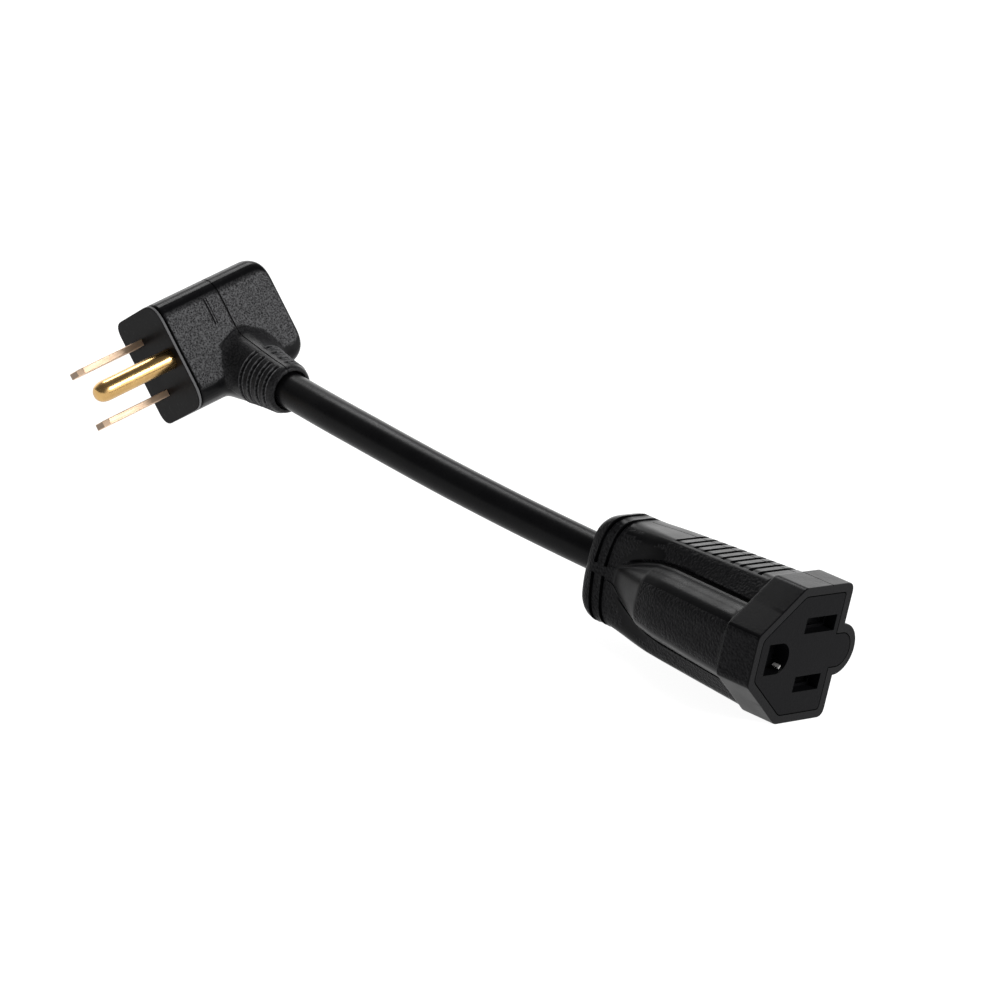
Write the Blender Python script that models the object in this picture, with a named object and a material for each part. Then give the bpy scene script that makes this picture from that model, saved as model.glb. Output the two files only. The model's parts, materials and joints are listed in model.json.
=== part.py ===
"""Short 15 A adapter lead: a right-angle 3-prong plug, a round cord and a moulded 3-hole connector.

Sizes are in millimetres and become metres where a mesh is made. +X is the way the connector's
socket face looks, +Z is up. The connector lies on the hot side of its flange.
"""

import math

import bmesh
import bpy
from mathutils import Matrix, Vector

MM = 0.001
GAP = 0.3  # clearance between neighbouring pieces

# The 15 A pin pattern, the same on the plug and on the connector
BLADE_OFFSET = 6.35  # each blade from the middle of the pair
GROUND_OFFSET = 11.9  # ground pin from the line through the blades
BLADE_WIDTH = 6.35
BLADE_THICKNESS = 1.5
BLADE_LENGTH = 17.4
BLADE_CHAMFER = 1.2
BLADE_HOLE_RADIUS = 1.55
BLADE_HOLE_FROM_TIP = 5.0
PIN_RADIUS = 2.4
PIN_LENGTH = 20.6
PIN_NOSE = 2.6

# Cord: round 16 AWG 3-core jacketed cord
CORD_RADIUS = 4.05
JACKET_BORE = 3.4
CORE_RADIUS = 1.375
CORE_BORE = 0.9
COPPER_RADIUS = 0.75
CORE_CIRCLE = 1.7
FILLER_RADIUS = 0.5
FILLER_CIRCLE = 2.55
TWIST_TURNS = 1.0
CORE_ANGLES = {"neutral": 60.0, "ground": 180.0, "hot": 300.0}
FILLER_ANGLES = (0.0, 120.0, 240.0)

# Crimp barrels, alike on blades, pin and contacts
BARREL_RADIUS = 1.5
BARREL_BORE = 0.95
BARREL_LENGTH = 5.5

# Connector
FLANGE_DEPTH = 8.3
FLANGE_HALF_HEIGHT = 14.65
FLANGE_SIDE = 8.75  # flange's far side, where the round lobe starts
LOBE_RADIUS = 5.6
FACE_RIM = 1.8  # rim of the flange round the face insert
INSERT_SIDE = 6.3
FACE_PLATE = 5.0
PLATE_BACK = -4.0  # where the carrier behind the face plate starts, inside the plate
CARRIER_END = -27.0
CARRIER_LOW = -6.8
CARRIER_HIGH = 5.6
CARRIER_HALF_HEIGHT = 10.2
WEB_HALF_HEIGHT = 2.6
CHAMBER_END = -30.0
CHAMBER_HALF_WIDTH = 3.7
CHAMBER_HALF_HEIGHT = 1.95
COVER_THICKNESS = 2.4
SLOT_WIDTH = 3.4
SLOT_LENGTHS = {"neutral": 10.2, "hot": 8.7}
GROUND_HOLE_HALF = 3.3
GROUND_HOLE_FLAT = 4.1  # flat side of the ground hole, from the hole's middle
SLEEVE_RADIUS = 3.0
SLEEVE_BORE = 2.55
TUNNEL_RADIUS = 3.3
TUBE_RADIUS = 3.95
CORD_Y = 2.2  # the cord enters a little to the far side of the blade line
CORD_Z = 0.2

# Plug, seen from its prong face
FACE_HALF_LENGTH = 12.85
FACE_LOW = -5.8
FACE_HIGH = 16.4
PLUG_DEPTH = 29.9
FACE_LIP = 0.8
BLOCK_DEPTH = 9.0
BLOCK_HALF_LENGTH = 9.6
BLOCK_LOW = -3.8
BLOCK_HIGH = 14.65
ROOM_DEPTH = 19.6  # the space behind the block for the crimped ends
EXIT_DEPTH = 16.0  # the cord's plane behind the prong face
EXIT_ANGLE = math.radians(35.0)  # from the ground side towards the hot side
RELIEF_END = 32.3
JACKET_START = 20.0

# Where the two housings stand
FACE_AT = Vector((99.66, 1.397, FLANGE_HALF_HEIGHT))
PLUG_FROM_FACE = Vector((-188.19, -5.24, -0.87))
PRONG_AXIS = Vector((-0.147, -0.8935, -0.4255)).normalized()
ROW_AXIS = Vector((0.603, 0.2606, -0.7546))

# The cord's middle line from the relief's mouth to the connector's tail, from the face's middle
CORD_ROUTE = (
    (-139.0, 1.9, 4.75),
    (-127.0, 1.05, 4.15),
    (-115.5, 0.65, 3.4),
    (-104.0, 0.6, 2.6),
    (-92.5, 0.85, 1.85),
    (-81.0, 1.3, 1.15),
    (-69.0, 1.85, 0.55),
    (-58.0, CORD_Y, CORD_Z),
    (-47.0, CORD_Y, CORD_Z),
)

COLOURS = {
    "pvc_black": ((0.012, 0.012, 0.013), 0.0, 0.55),
    "face_black": ((0.014, 0.014, 0.015), 0.0, 0.4),
    "brass": ((0.83, 0.62, 0.34), 1.0, 0.25),
    "contact_brass": ((0.78, 0.57, 0.3), 1.0, 0.35),
    "copper": ((0.85, 0.42, 0.26), 1.0, 0.3),
    "core_white": ((0.8, 0.8, 0.78), 0.0, 0.5),
    "core_green": ((0.03, 0.3, 0.09), 0.0, 0.5),
    "filler_fibre": ((0.62, 0.55, 0.42), 0.0, 0.9),
}


def clear_scene():
    for obj in list(bpy.data.objects):
        bpy.data.objects.remove(obj, do_unlink=True)


def material(name):
    if name in bpy.data.materials:
        return bpy.data.materials[name]
    colour, metallic, roughness = COLOURS[name]
    made = bpy.data.materials.new(name)
    made.use_nodes = True
    shader = made.node_tree.nodes["Principled BSDF"]
    shader.inputs["Base Color"].default_value = (*colour, 1.0)
    shader.inputs["Metallic"].default_value = metallic
    shader.inputs["Roughness"].default_value = roughness
    return made


def frame_empty(name, matrix):
    empty = bpy.data.objects.new(name, None)
    bpy.context.scene.collection.objects.link(empty)
    empty.matrix_world = matrix
    return empty


def solid(name, bm, colour=None, parent=None):
    """Turns a bmesh in millimetres into an object; one without a colour is a cutter."""
    bmesh.ops.recalc_face_normals(bm, faces=bm.faces)
    bmesh.ops.scale(bm, vec=(MM, MM, MM), verts=bm.verts)
    mesh = bpy.data.meshes.new(name)
    bm.to_mesh(mesh)
    bm.free()
    mesh.shade_smooth()
    mesh.set_sharp_from_angle(angle=math.radians(32))
    obj = bpy.data.objects.new(name, mesh)
    bpy.context.scene.collection.objects.link(obj)
    obj.parent = parent
    if colour:
        mesh.materials.append(material(colour))
    else:
        obj.hide_render = True
        obj.display_type = "WIRE"
    return obj


def boolean(obj, operation, *others):
    for other in others:
        modifier = obj.modifiers.new(f"{operation.lower()}_{other.name}", "BOOLEAN")
        modifier.operation = operation
        modifier.solver = "EXACT"
        modifier.object = other
    return obj


def loft(rings):
    """A closed bmesh through rings of equally many points."""
    bm = bmesh.new()
    rows = [[bm.verts.new(point) for point in ring] for ring in rings]
    count = len(rows[0])
    for low, high in zip(rows, rows[1:]):
        for i in range(count):
            j = (i + 1) % count
            bm.faces.new((low[i], low[j], high[j], high[i]))
    bm.faces.new(rows[0])
    bm.faces.new(rows[-1])
    return bm


def prism(outline, low, high):
    """An outline of (y, z) points drawn out along x."""
    return loft([[(x, y, z) for y, z in outline] for x in (low, high)])


def box(low, high):
    outline = ((low[1], low[2]), (high[1], low[2]), (high[1], high[2]), (low[1], high[2]))
    return prism(outline, low[0], high[0])


def turned(profile, start, axis, sides):
    """A turned bar: profile lists (distance along the axis, radius)."""
    along = Vector(axis).normalized()
    across = along.orthogonal().normalized()
    third = along.cross(across)
    rings = []
    for distance, radius in profile:
        middle = Vector(start) + along * distance
        ring = []
        for k in range(sides):
            angle = 2 * math.pi * k / sides
            ring.append(middle + (across * math.cos(angle) + third * math.sin(angle)) * radius)
        rings.append(ring)
    return loft(rings)


def rod(start, end, radius, sides=16):
    axis = Vector(end) - Vector(start)
    return turned(((0, radius), (axis.length, radius)), start, axis, sides)


def corner(before, at, after, cut, steps):
    """Points round a corner, along a curve that leaves each side at the cut."""
    at = Vector(at)
    to_before = Vector(before) - at
    to_after = Vector(after) - at
    start = at + to_before.normalized() * min(cut, 0.45 * to_before.length)
    end = at + to_after.normalized() * min(cut, 0.45 * to_after.length)
    points = []
    for k in range(steps + 1):
        t = k / steps
        points.append(start * (1 - t) ** 2 + at * 2 * t * (1 - t) + end * t**2)
    return [tuple(point) for point in points]


def rounded(corners, cuts, steps):
    points = []
    for k, at in enumerate(corners):
        after = corners[(k + 1) % len(corners)]
        points += corner(corners[k - 1], at, after, cuts[k], steps)
    return points


# Connector -------------------------------------------------------------------------------


LOBE_STEPS = 8
CORNER_STEPS = 4
SOFT_CUTS = (6.0, 4.2, 1.2, 3.6)
FLANGE_CUTS = (2.0, 0.8, 0.5, 0.9)

# x, far wall y, half height, top's end y, valley (y, z), ridge (y, z)
BODY_STATIONS = (
    (-50.0, 8.8, 11.6, -6.3, (-6.4, 2.0), (-6.5, 1.0)),
    (-47.9, 8.8, 11.7, -6.5, (-6.6, 2.4), (-6.7, 1.1)),
    (-44.0, 8.7, 12.0, -6.7, (-7.2, 4.6), (-9.3, 2.5)),
    (-40.0, 8.6, 12.25, -7.0, (-7.9, 6.2), (-11.9, 3.6)),
    (-35.6, 8.5, 12.5, -7.3, (-8.6, 7.5), (-14.7, 4.7)),
    (-31.0, 8.4, 12.8, -7.5, (-9.3, 8.1), (-15.9, 5.0)),
    (-22.0, 8.2, 13.3, -7.9, (-10.7, 8.4), (-17.5, 5.3)),
    (-9.2, 7.9, 14.0, -8.4, (-12.6, 8.8), (-19.5, 5.6)),
)
TAIL_END = -57.0
TAIL_ROUNDING = ((0.0, 2.6), (0.35, 1.5), (1.0, 0.6), (2.2, 0.0))
RING_PLACES = (-53.7, -50.9)
RING_STEPS = ((-0.6, 0.0), (-0.35, 0.7), (0.35, 0.7), (0.6, 0.0))
FLANGE_SHAPE = (FLANGE_SIDE, FLANGE_HALF_HEIGHT, -7.8, (-14.0, 9.975), (-20.4, 5.3))
FLANGE_STEPS = ((-FLANGE_DEPTH - 0.3, 0.4), (-FLANGE_DEPTH, 0.0), (-0.25, 0.0), (0.0, 0.25))
GRIP_COUNT = 10
GRIP_FIRST = -34.8
GRIP_PITCH = 2.55
GRIP_WIDTH = 0.8
GRIP_DEPTH = 0.7
GRIP_FAR_END = 5.8
GRIP_NEAR_ENDS = (-6.4, -8.2)  # of the first groove and of the last
TOP_AT_FIRST_GRIP = 12.55
TOP_SLOPE = 0.057


def shell_outline(side, height, top, valley, ridge, cuts, lobe=0.0, inset=0.0):
    """The connector's cross-section as (y, z) points, anticlockwise from its lobe.

    side is the far wall's y, height half the height, top the y where the flat top ends,
    valley and ridge the (y, z) corners of the ground side's raised ridge.
    """
    side -= inset
    height -= inset
    b = (top + 0.4 * inset, height)
    c = (valley[0] + 0.8 * inset, valley[1] - 0.5 * inset)
    d = (ridge[0] + inset, ridge[1] - 0.4 * inset)
    upper = [(side, height), b, c, d]
    lower = [(y, -z) for y, z in reversed(upper)]
    corners = [(side, 0.0)] + upper + lower + [(side, 0.0)]
    all_cuts = list(cuts) + list(reversed(cuts))
    radius = LOBE_RADIUS - inset
    points = []
    for k in range(LOBE_STEPS + 1):
        angle = math.pi * (k / LOBE_STEPS - 0.5)
        points.append((side + radius * math.cos(angle) * lobe, radius * math.sin(angle)))
    for k in range(1, 9):
        points += corner(corners[k - 1], corners[k], corners[k + 1], all_cuts[k - 1], CORNER_STEPS)
    return points


def connector_shell():
    tail = BODY_STATIONS[0]
    places = [(TAIL_END + dx, inset) for dx, inset in TAIL_ROUNDING]
    places += [(x + dx, inset) for x in RING_PLACES for dx, inset in RING_STEPS]
    outlines = [(x, shell_outline(*tail[1:], SOFT_CUTS, inset=inset)) for x, inset in places]
    outlines += [(x, shell_outline(*shape, SOFT_CUTS)) for x, *shape in BODY_STATIONS]
    for x, inset in FLANGE_STEPS:
        outlines.append((x, shell_outline(*FLANGE_SHAPE, FLANGE_CUTS, lobe=1.0, inset=inset)))
    return loft([[(x, y, z) for y, z in outline] for x, outline in outlines])


def insert_outline(clearance):
    """The face insert's outline, the flange's drawn in by the rim and a clearance."""
    inset = FACE_RIM + clearance
    shoulder = Vector((FLANGE_SHAPE[2], FLANGE_HALF_HEIGHT))
    end = Vector(FLANGE_SHAPE[4])
    chamfer = (end - shoulder).normalized()
    on_line = shoulder + Vector((-chamfer.y, chamfer.x)) * inset
    height = FLANGE_HALF_HEIGHT - inset
    top = on_line + chamfer * ((height - on_line.y) / chamfer.y)
    low = on_line + chamfer * ((end.x + inset - on_line.x) / chamfer.x)
    side = INSERT_SIDE + GAP - clearance
    radius = LOBE_RADIUS - inset
    upper = [(side, height), tuple(top), tuple(low)]
    ring = upper + [(y, -z) for y, z in reversed(upper)]
    points = []
    for k, at in enumerate(ring):
        after = ring[(k + 1) % len(ring)]
        points += corner(ring[k - 1], at, after, 0.9, 2)
    points.append((side, -radius))
    for k in range(LOBE_STEPS + 1):
        angle = math.pi * (k / LOBE_STEPS - 0.5)
        points.append((FLANGE_SIDE + radius * math.cos(angle), radius * math.sin(angle)))
    points.append((side, radius))
    return points


def carrier_solids(name, grow, end, parent):
    """The contact carrier's box, ground tube and the web between them, grown by a clearance."""
    half = CARRIER_HALF_HEIGHT + grow
    web_half = WEB_HALF_HEIGHT + grow
    body = box((end, CARRIER_LOW - grow, -half), (PLATE_BACK, CARRIER_HIGH + grow, half))
    web = box((end, -GROUND_OFFSET, -web_half), (PLATE_BACK, CARRIER_LOW + 1.8, web_half))
    tube = rod((end, -GROUND_OFFSET, 0), (PLATE_BACK, -GROUND_OFFSET, 0), TUBE_RADIUS + grow, 24)
    return (
        solid(f"{name}_box", body, parent=parent),
        solid(f"{name}_web", web, parent=parent),
        solid(f"{name}_tube", tube, parent=parent),
    )


# x, lowest y, highest y, half height at the highest y
FUNNEL_STATIONS = (
    (-46.5, -3.0, 5.4, 3.6),
    (-43.0, -5.4, 5.2, 5.0),
    (-38.0, -10.4, 4.6, 8.6),
    (-34.0, -13.9, 4.4, 10.2),
    (-30.0, -14.2, 4.4, 10.2),
)


def wire_funnel(parent):
    """The space where the three cores fan out from the jacket to the contacts."""
    rings = []
    for x, low, high, half in FUNNEL_STATIONS:
        outline = rounded(((high, -half), (high, half), (low, 3.4), (low, -3.4)), (2.0,) * 4, 3)
        rings.append([(x, y, z) for y, z in outline])
    return solid("cut_funnel", loft(rings), parent=parent)


def grip_cutters(parent):
    cutters = []
    for k in range(GRIP_COUNT):
        x = GRIP_FIRST + k * GRIP_PITCH
        low = TOP_AT_FIRST_GRIP + TOP_SLOPE * (x - GRIP_FIRST) - GRIP_DEPTH
        near = GRIP_NEAR_ENDS[0] + (GRIP_NEAR_ENDS[1] - GRIP_NEAR_ENDS[0]) * k / (GRIP_COUNT - 1)
        half = GRIP_WIDTH / 2
        for side in (1, -1):
            span = sorted((side * low, side * (low + 4.0)))
            bm = box((x - half, near, span[0]), (x + half, GRIP_FAR_END, span[1]))
            cutters.append(solid(f"cut_grip_{k}_{side}", bm, parent=parent))
    return cutters


def connector_overmould(parent):
    shell = solid("connector_overmould", connector_shell(), "pvc_black", parent)
    pocket = solid("cut_pocket", prism(insert_outline(0.0), -FACE_PLATE - GAP, 1.0), parent=parent)
    bore = rod((TAIL_END - 1, CORD_Y, CORD_Z), (-45.0, CORD_Y, CORD_Z), CORD_RADIUS + GAP, 20)
    space_end = CARRIER_END - COVER_THICKNESS - 4 * GAP
    boolean(shell, "DIFFERENCE", pocket)
    boolean(shell, "DIFFERENCE", *carrier_solids("cut_space", GAP, space_end, parent))
    boolean(shell, "DIFFERENCE", wire_funnel(parent))
    boolean(shell, "DIFFERENCE", solid("cut_cord_bore", bore, parent=parent))
    boolean(shell, "DIFFERENCE", *grip_cutters(parent))


def slot_cutter(pole, z, parent):
    half = SLOT_LENGTHS[pole] / 2
    bm = box((-4.4, -half, z - SLOT_WIDTH / 2), (1.0, half, z + SLOT_WIDTH / 2))
    return solid(f"cut_slot_{pole}", bm, parent=parent)


def chamber_cutter(pole, z, parent):
    low = (CHAMBER_END, -CHAMBER_HALF_WIDTH, z - CHAMBER_HALF_HEIGHT)
    high = (PLATE_BACK, CHAMBER_HALF_WIDTH, z + CHAMBER_HALF_HEIGHT)
    return solid(f"cut_chamber_{pole}", box(low, high), parent=parent)


def ground_mouth(parent):
    """The D-shaped mouth: a half round towards the blades and a flat side away from them."""
    flat = -GROUND_OFFSET - GROUND_HOLE_FLAT
    points = [(flat, GROUND_HOLE_HALF), (flat, -GROUND_HOLE_HALF)]
    for k in range(13):
        angle = math.pi * (k / 12 - 0.5)
        y = -GROUND_OFFSET + GROUND_HOLE_HALF * math.cos(angle)
        points.append((y, GROUND_HOLE_HALF * math.sin(angle)))
    return solid("cut_ground_mouth", prism(points, -3.8, 1.0), parent=parent)


def connector_face_insert(parent):
    outline = prism(insert_outline(GAP), -FACE_PLATE, 0.0)
    plate = solid("connector_face_insert", outline, "face_black", parent)
    tunnel = rod((-28.0, -GROUND_OFFSET, 0), (-3.0, -GROUND_OFFSET, 0), TUNNEL_RADIUS, 20)
    boolean(plate, "UNION", *carrier_solids("add_carrier", 0.0, CARRIER_END, parent))
    for pole, z in (("neutral", BLADE_OFFSET), ("hot", -BLADE_OFFSET)):
        boolean(plate, "DIFFERENCE", slot_cutter(pole, z, parent), chamber_cutter(pole, z, parent))
    boolean(plate, "DIFFERENCE", ground_mouth(parent), solid("cut_tunnel", tunnel, parent=parent))


def connector_rear_cover(parent):
    front = CARRIER_END - GAP
    back = front - COVER_THICKNESS
    plate = box((back, CARRIER_LOW, -CARRIER_HALF_HEIGHT), (front, CARRIER_HIGH, CARRIER_HALF_HEIGHT))
    cover = solid("connector_rear_cover", plate, "face_black", parent)
    tab = box((back, -14.4, -WEB_HALF_HEIGHT), (front, -6.0, WEB_HALF_HEIGHT))
    boolean(cover, "UNION", solid("add_cover_tab", tab, parent=parent))
    for pole, y, z in (("n", 0, BLADE_OFFSET), ("h", 0, -BLADE_OFFSET), ("g", -GROUND_OFFSET, 0)):
        hole = rod((front - 4, y, z), (front + 1, y, z), CORE_RADIUS + GAP, 16)
        boolean(cover, "DIFFERENCE", solid(f"cut_cover_{pole}", hole, parent=parent))


def barrel(name, start, axis, length, parent):
    """A crimp barrel and the cutter for its bore, open at the end that the core enters."""
    start = Vector(start)
    axis = Vector(axis).normalized()
    outer = rod(start, start + axis * length, BARREL_RADIUS, 16)
    bore = rod(start + axis, start + axis * (length + 1), BARREL_BORE, 12)
    return solid(f"add_{name}", outer, parent=parent), solid(f"cut_{name}", bore, parent=parent)


def blade_contact(pole, z, parent):
    """A folded strip whose two leaves grip the blade, and its crimp barrel."""
    leaf, opening, half = 0.55, 0.8, 3.2
    outline = [
        (-4.7, opening + 0.5),
        (-6.5, opening),
        (-19.5, opening),
        (-19.5, -opening),
        (-6.5, -opening),
        (-4.7, -opening - 0.5),
        (-4.7, -opening - 0.5 - leaf),
        (-6.5, -opening - leaf),
        (-21.0, -opening - leaf),
        (-21.0, opening + leaf),
        (-6.5, opening + leaf),
        (-4.7, opening + 0.5 + leaf),
    ]
    rings = [[(x, y, z + up) for x, up in outline] for y in (-half, half)]
    contact = solid(f"contact_{pole}", loft(rings), "contact_brass", parent)
    outer, bore = barrel(f"contact_{pole}_barrel", (-20.5, 0, z), (-1, 0, 0), BARREL_LENGTH + 0.8, parent)
    boolean(contact, "UNION", outer)
    boolean(contact, "DIFFERENCE", bore)


def ground_contact(parent):
    """A slit sleeve that grips the ground pin, and its crimp barrel."""
    y = -GROUND_OFFSET
    sleeve = rod((-22.0, y, 0), (-4.3, y, 0), SLEEVE_RADIUS, 24)
    contact = solid("contact_ground", sleeve, "contact_brass", parent)
    hollow = rod((-21.2, y, 0), (-3.0, y, 0), SLEEVE_BORE, 24)
    slit = box((-17.0, y + 1.0, -0.4), (-3.0, y + 5.0, 0.4))
    boolean(contact, "DIFFERENCE", solid("cut_sleeve", hollow, parent=parent))
    boolean(contact, "DIFFERENCE", solid("cut_slit", slit, parent=parent))
    outer, bore = barrel("contact_ground_barrel", (-21.6, y, 0), (-1, 0, 0), BARREL_LENGTH - 0.3, parent)
    boolean(contact, "UNION", outer)
    boolean(contact, "DIFFERENCE", bore)


# Plug ------------------------------------------------------------------------------------

PLUG_CORNERS = (3.4, 3.4, 5.4, 5.4)
BACK_ROUNDING = ((0.0, 3.2, 0.8), (0.3, 2.1, 0.35), (0.8, 1.2, 0.0), (1.7, 0.45, 0.0), (3.4, 0.0, 0.0))
RELIEF_PROFILE = (
    (10.0, 7.8),
    (15.5, 7.9),
    (19.0, 7.3),
    (23.0, 6.65),
    (27.0, 6.15),
    (31.0, 5.8),
    (31.9, 5.55),
    (RELIEF_END, 5.1),
)


def face_outline(ends=0.0, sides=0.0):
    """The prong face's outline as (s, g) points, drawn in at the row's ends and on its sides."""
    half = FACE_HALF_LENGTH - ends
    low = FACE_LOW + sides
    high = FACE_HIGH - sides
    corners = ((-half, low), (half, low), (half, high), (-half, high))
    return rounded(corners, [cut - 0.5 * ends for cut in PLUG_CORNERS], 5)


def exit_point(along, across=0.0, behind=0.0):
    """A point in the plug's frame, from distances along and across the cord's way out."""
    s = along * math.sin(EXIT_ANGLE) + across * math.cos(EXIT_ANGLE)
    g = along * math.cos(EXIT_ANGLE) - across * math.sin(EXIT_ANGLE)
    return Vector((behind - EXIT_DEPTH, s, g))


def plug_overmould(parent):
    rings = []
    for dx, ends, sides in BACK_ROUNDING:
        rings.append([(dx - PLUG_DEPTH, s, g) for s, g in face_outline(ends, sides)])
    front = -FACE_LIP - GAP
    rings.append([(front, s, g) for s, g in face_outline()])
    body = solid("plug_overmould", loft(rings), "pvc_black", parent)
    way_out = exit_point(1.0) - exit_point(0.0)
    relief = turned(RELIEF_PROFILE, exit_point(0.0), way_out, 28)
    half = BLOCK_HALF_LENGTH + GAP
    block = box((-BLOCK_DEPTH - GAP, -half, BLOCK_LOW - GAP), (0.0, half, BLOCK_HIGH + GAP))
    room = box((-ROOM_DEPTH, -9.0, BLOCK_LOW + 0.2), (-BLOCK_DEPTH, 9.2, BLOCK_HIGH - 0.05))
    bore = rod(exit_point(9.0), exit_point(RELIEF_END + 2), CORD_RADIUS + GAP, 20)
    boolean(body, "UNION", solid("add_relief", relief, parent=parent))
    boolean(body, "DIFFERENCE", solid("cut_block_space", block, parent=parent))
    boolean(body, "DIFFERENCE", solid("cut_wire_room", room, parent=parent))
    boolean(body, "DIFFERENCE", solid("cut_exit_bore", bore, parent=parent))


def plug_face_block(parent):
    lip = prism(face_outline(), -FACE_LIP, 0.0)
    face = solid("plug_face_block", lip, "face_black", parent)
    half = BLOCK_HALF_LENGTH
    block = box((-BLOCK_DEPTH, -half, BLOCK_LOW), (FACE_LIP / -2, half, BLOCK_HIGH))
    boolean(face, "UNION", solid("add_block", block, parent=parent))
    half_t = BLADE_THICKNESS / 2 + 0.15
    half_w = BLADE_WIDTH / 2 + 0.15
    for pole, s in (("neutral", -BLADE_OFFSET), ("hot", BLADE_OFFSET)):
        bm = box((-12.0, s - half_t, -half_w), (1.0, s + half_t, half_w))
        boolean(face, "DIFFERENCE", solid(f"cut_blade_{pole}", bm, parent=parent))
    hole = rod((-12.0, 0, GROUND_OFFSET), (1.0, 0, GROUND_OFFSET), PIN_RADIUS + 0.15, 24)
    boolean(face, "DIFFERENCE", solid("cut_pin_hole", hole, parent=parent))


def blade(pole, s, barrel_axis, behind, parent):
    """A flat blade with a chamfered tip and a hole, and a narrow tail to its crimp barrel."""
    half_w = BLADE_WIDTH / 2
    half_t = BLADE_THICKNESS / 2
    tip = BLADE_LENGTH
    outline = (
        (-10.0, -half_w),
        (tip - BLADE_CHAMFER, -half_w),
        (tip, -half_w + BLADE_CHAMFER),
        (tip, half_w - BLADE_CHAMFER),
        (tip - BLADE_CHAMFER, half_w),
        (-10.0, half_w),
    )
    bm = loft([[(p, s + side, g) for p, g in outline] for side in (-half_t, half_t)])
    bmesh.ops.bevel(bm, geom=list(bm.edges), offset=0.18, segments=1, affect="EDGES")
    strip = solid(f"blade_{pole}", bm, "brass", parent)
    tail_end = behind - EXIT_DEPTH - 0.9
    tail = box((tail_end, s - half_t + 0.05, -1.2), (-9.0, s + half_t - 0.05, 1.2))
    hole_at = tip - BLADE_HOLE_FROM_TIP
    hole = rod((hole_at, s - 2, 0), (hole_at, s + 2, 0), BLADE_HOLE_RADIUS, 16)
    start = Vector((behind - EXIT_DEPTH, s, 0.0))
    outer, bore = barrel(f"blade_{pole}_barrel", start, barrel_axis, BARREL_LENGTH, parent)
    boolean(strip, "UNION", solid(f"add_tail_{pole}", tail, parent=parent), outer)
    boolean(strip, "DIFFERENCE", bore, solid(f"cut_hole_{pole}", hole, parent=parent))


def ground_pin(parent):
    """A round pin with a rounded nose; its shank thins behind the face block."""
    profile = [(0.0, 1.2), (5.3, 1.2), (5.5, PIN_RADIUS - 0.2), (5.7, PIN_RADIUS)]
    rear = -15.4
    nose = PIN_LENGTH - rear - PIN_NOSE
    for k in range(6):
        angle = math.pi / 2 * k / 6
        radius = PIN_RADIUS * (0.28 + 0.72 * math.cos(angle))
        profile.append((nose + PIN_NOSE * math.sin(angle), radius))
    profile.append((PIN_LENGTH - rear, PIN_RADIUS * 0.28))
    pin = solid("ground_pin", turned(profile, (rear, 0, GROUND_OFFSET), (1, 0, 0), 24), "brass", parent)
    start = Vector((rear + 0.9, 0.0, GROUND_OFFSET))
    outer, bore = barrel("ground_pin_barrel", start, (0, 1, 0), BARREL_LENGTH + 0.5, parent)
    boolean(pin, "UNION", outer)
    boolean(pin, "DIFFERENCE", bore)


# Cord ------------------------------------------------------------------------------------


def smooth_route(points, per_span):
    """Points on a Catmull-Rom curve through a route."""
    points = [Vector(point) for point in points]
    ends = [points[0] * 2 - points[1]] + points + [points[-1] * 2 - points[-2]]
    made = []
    for a, b, c, d in zip(ends, ends[1:], ends[2:], ends[3:]):
        for k in range(per_span):
            t = k / per_span
            square = (2 * a - 5 * b + 4 * c - d) * t**2
            cube = (3 * b - a - 3 * c + d) * t**3
            made.append(0.5 * (2 * b + (c - a) * t + square + cube))
    made.append(points[-1])
    return made


def cross_axes(route, k):
    """Two axes across a route at its point k, the first as near +Y as it can be."""
    ahead = (route[min(k + 1, len(route) - 1)] - route[max(k - 1, 0)]).normalized()
    first = (Vector((0, 1, 0)) - ahead * ahead.y).normalized()
    return first, ahead.cross(first)


def ring_at(route, k, radius, sides):
    first, second = cross_axes(route, k)
    ring = []
    for i in range(sides):
        angle = 2 * math.pi * i / sides
        ring.append(route[k] + (first * math.cos(angle) + second * math.sin(angle)) * radius)
    return ring


def pipe(name, route, radius, bore, sides, colour):
    """A hollow tube along a route, open at both ends."""
    bm = bmesh.new()
    walls = []
    for size in (radius, bore):
        rings = [ring_at(route, k, size, sides) for k in range(len(route))]
        walls.append([[bm.verts.new(point) for point in ring] for ring in rings])
    outer, inner = walls
    for rows in walls:
        for low, high in zip(rows, rows[1:]):
            for i in range(sides):
                j = (i + 1) % sides
                bm.faces.new((low[i], low[j], high[j], high[i]))
    for end in (0, -1):
        for i in range(sides):
            j = (i + 1) % sides
            bm.faces.new((outer[end][i], outer[end][j], inner[end][j], inner[end][i]))
    return solid(name, bm, colour)


def bar(name, route, radius, colour):
    """A round bar along a route: a curve with a bevel and filled caps."""
    curve = bpy.data.curves.new(name, "CURVE")
    curve.dimensions = "3D"
    curve.bevel_depth = radius * MM
    curve.bevel_resolution = 2
    curve.use_fill_caps = True
    spline = curve.splines.new("POLY")
    spline.points.add(len(route) - 1)
    for point, place in zip(spline.points, route):
        point.co = (*(place * MM), 1.0)
    curve.materials.append(material(colour))
    obj = bpy.data.objects.new(name, curve)
    bpy.context.scene.collection.objects.link(obj)
    return obj


def plug_matrix():
    row = (ROW_AXIS - PRONG_AXIS * ROW_AXIS.dot(PRONG_AXIS)).normalized()
    ground = PRONG_AXIS.cross(row)
    turn = Matrix((PRONG_AXIS, row, ground)).transposed().to_4x4()
    return Matrix.Translation((FACE_AT + PLUG_FROM_FACE) * MM) @ turn


def from_plug(matrix, point):
    return matrix.to_3x3() @ Vector(point) + matrix.translation / MM


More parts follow.
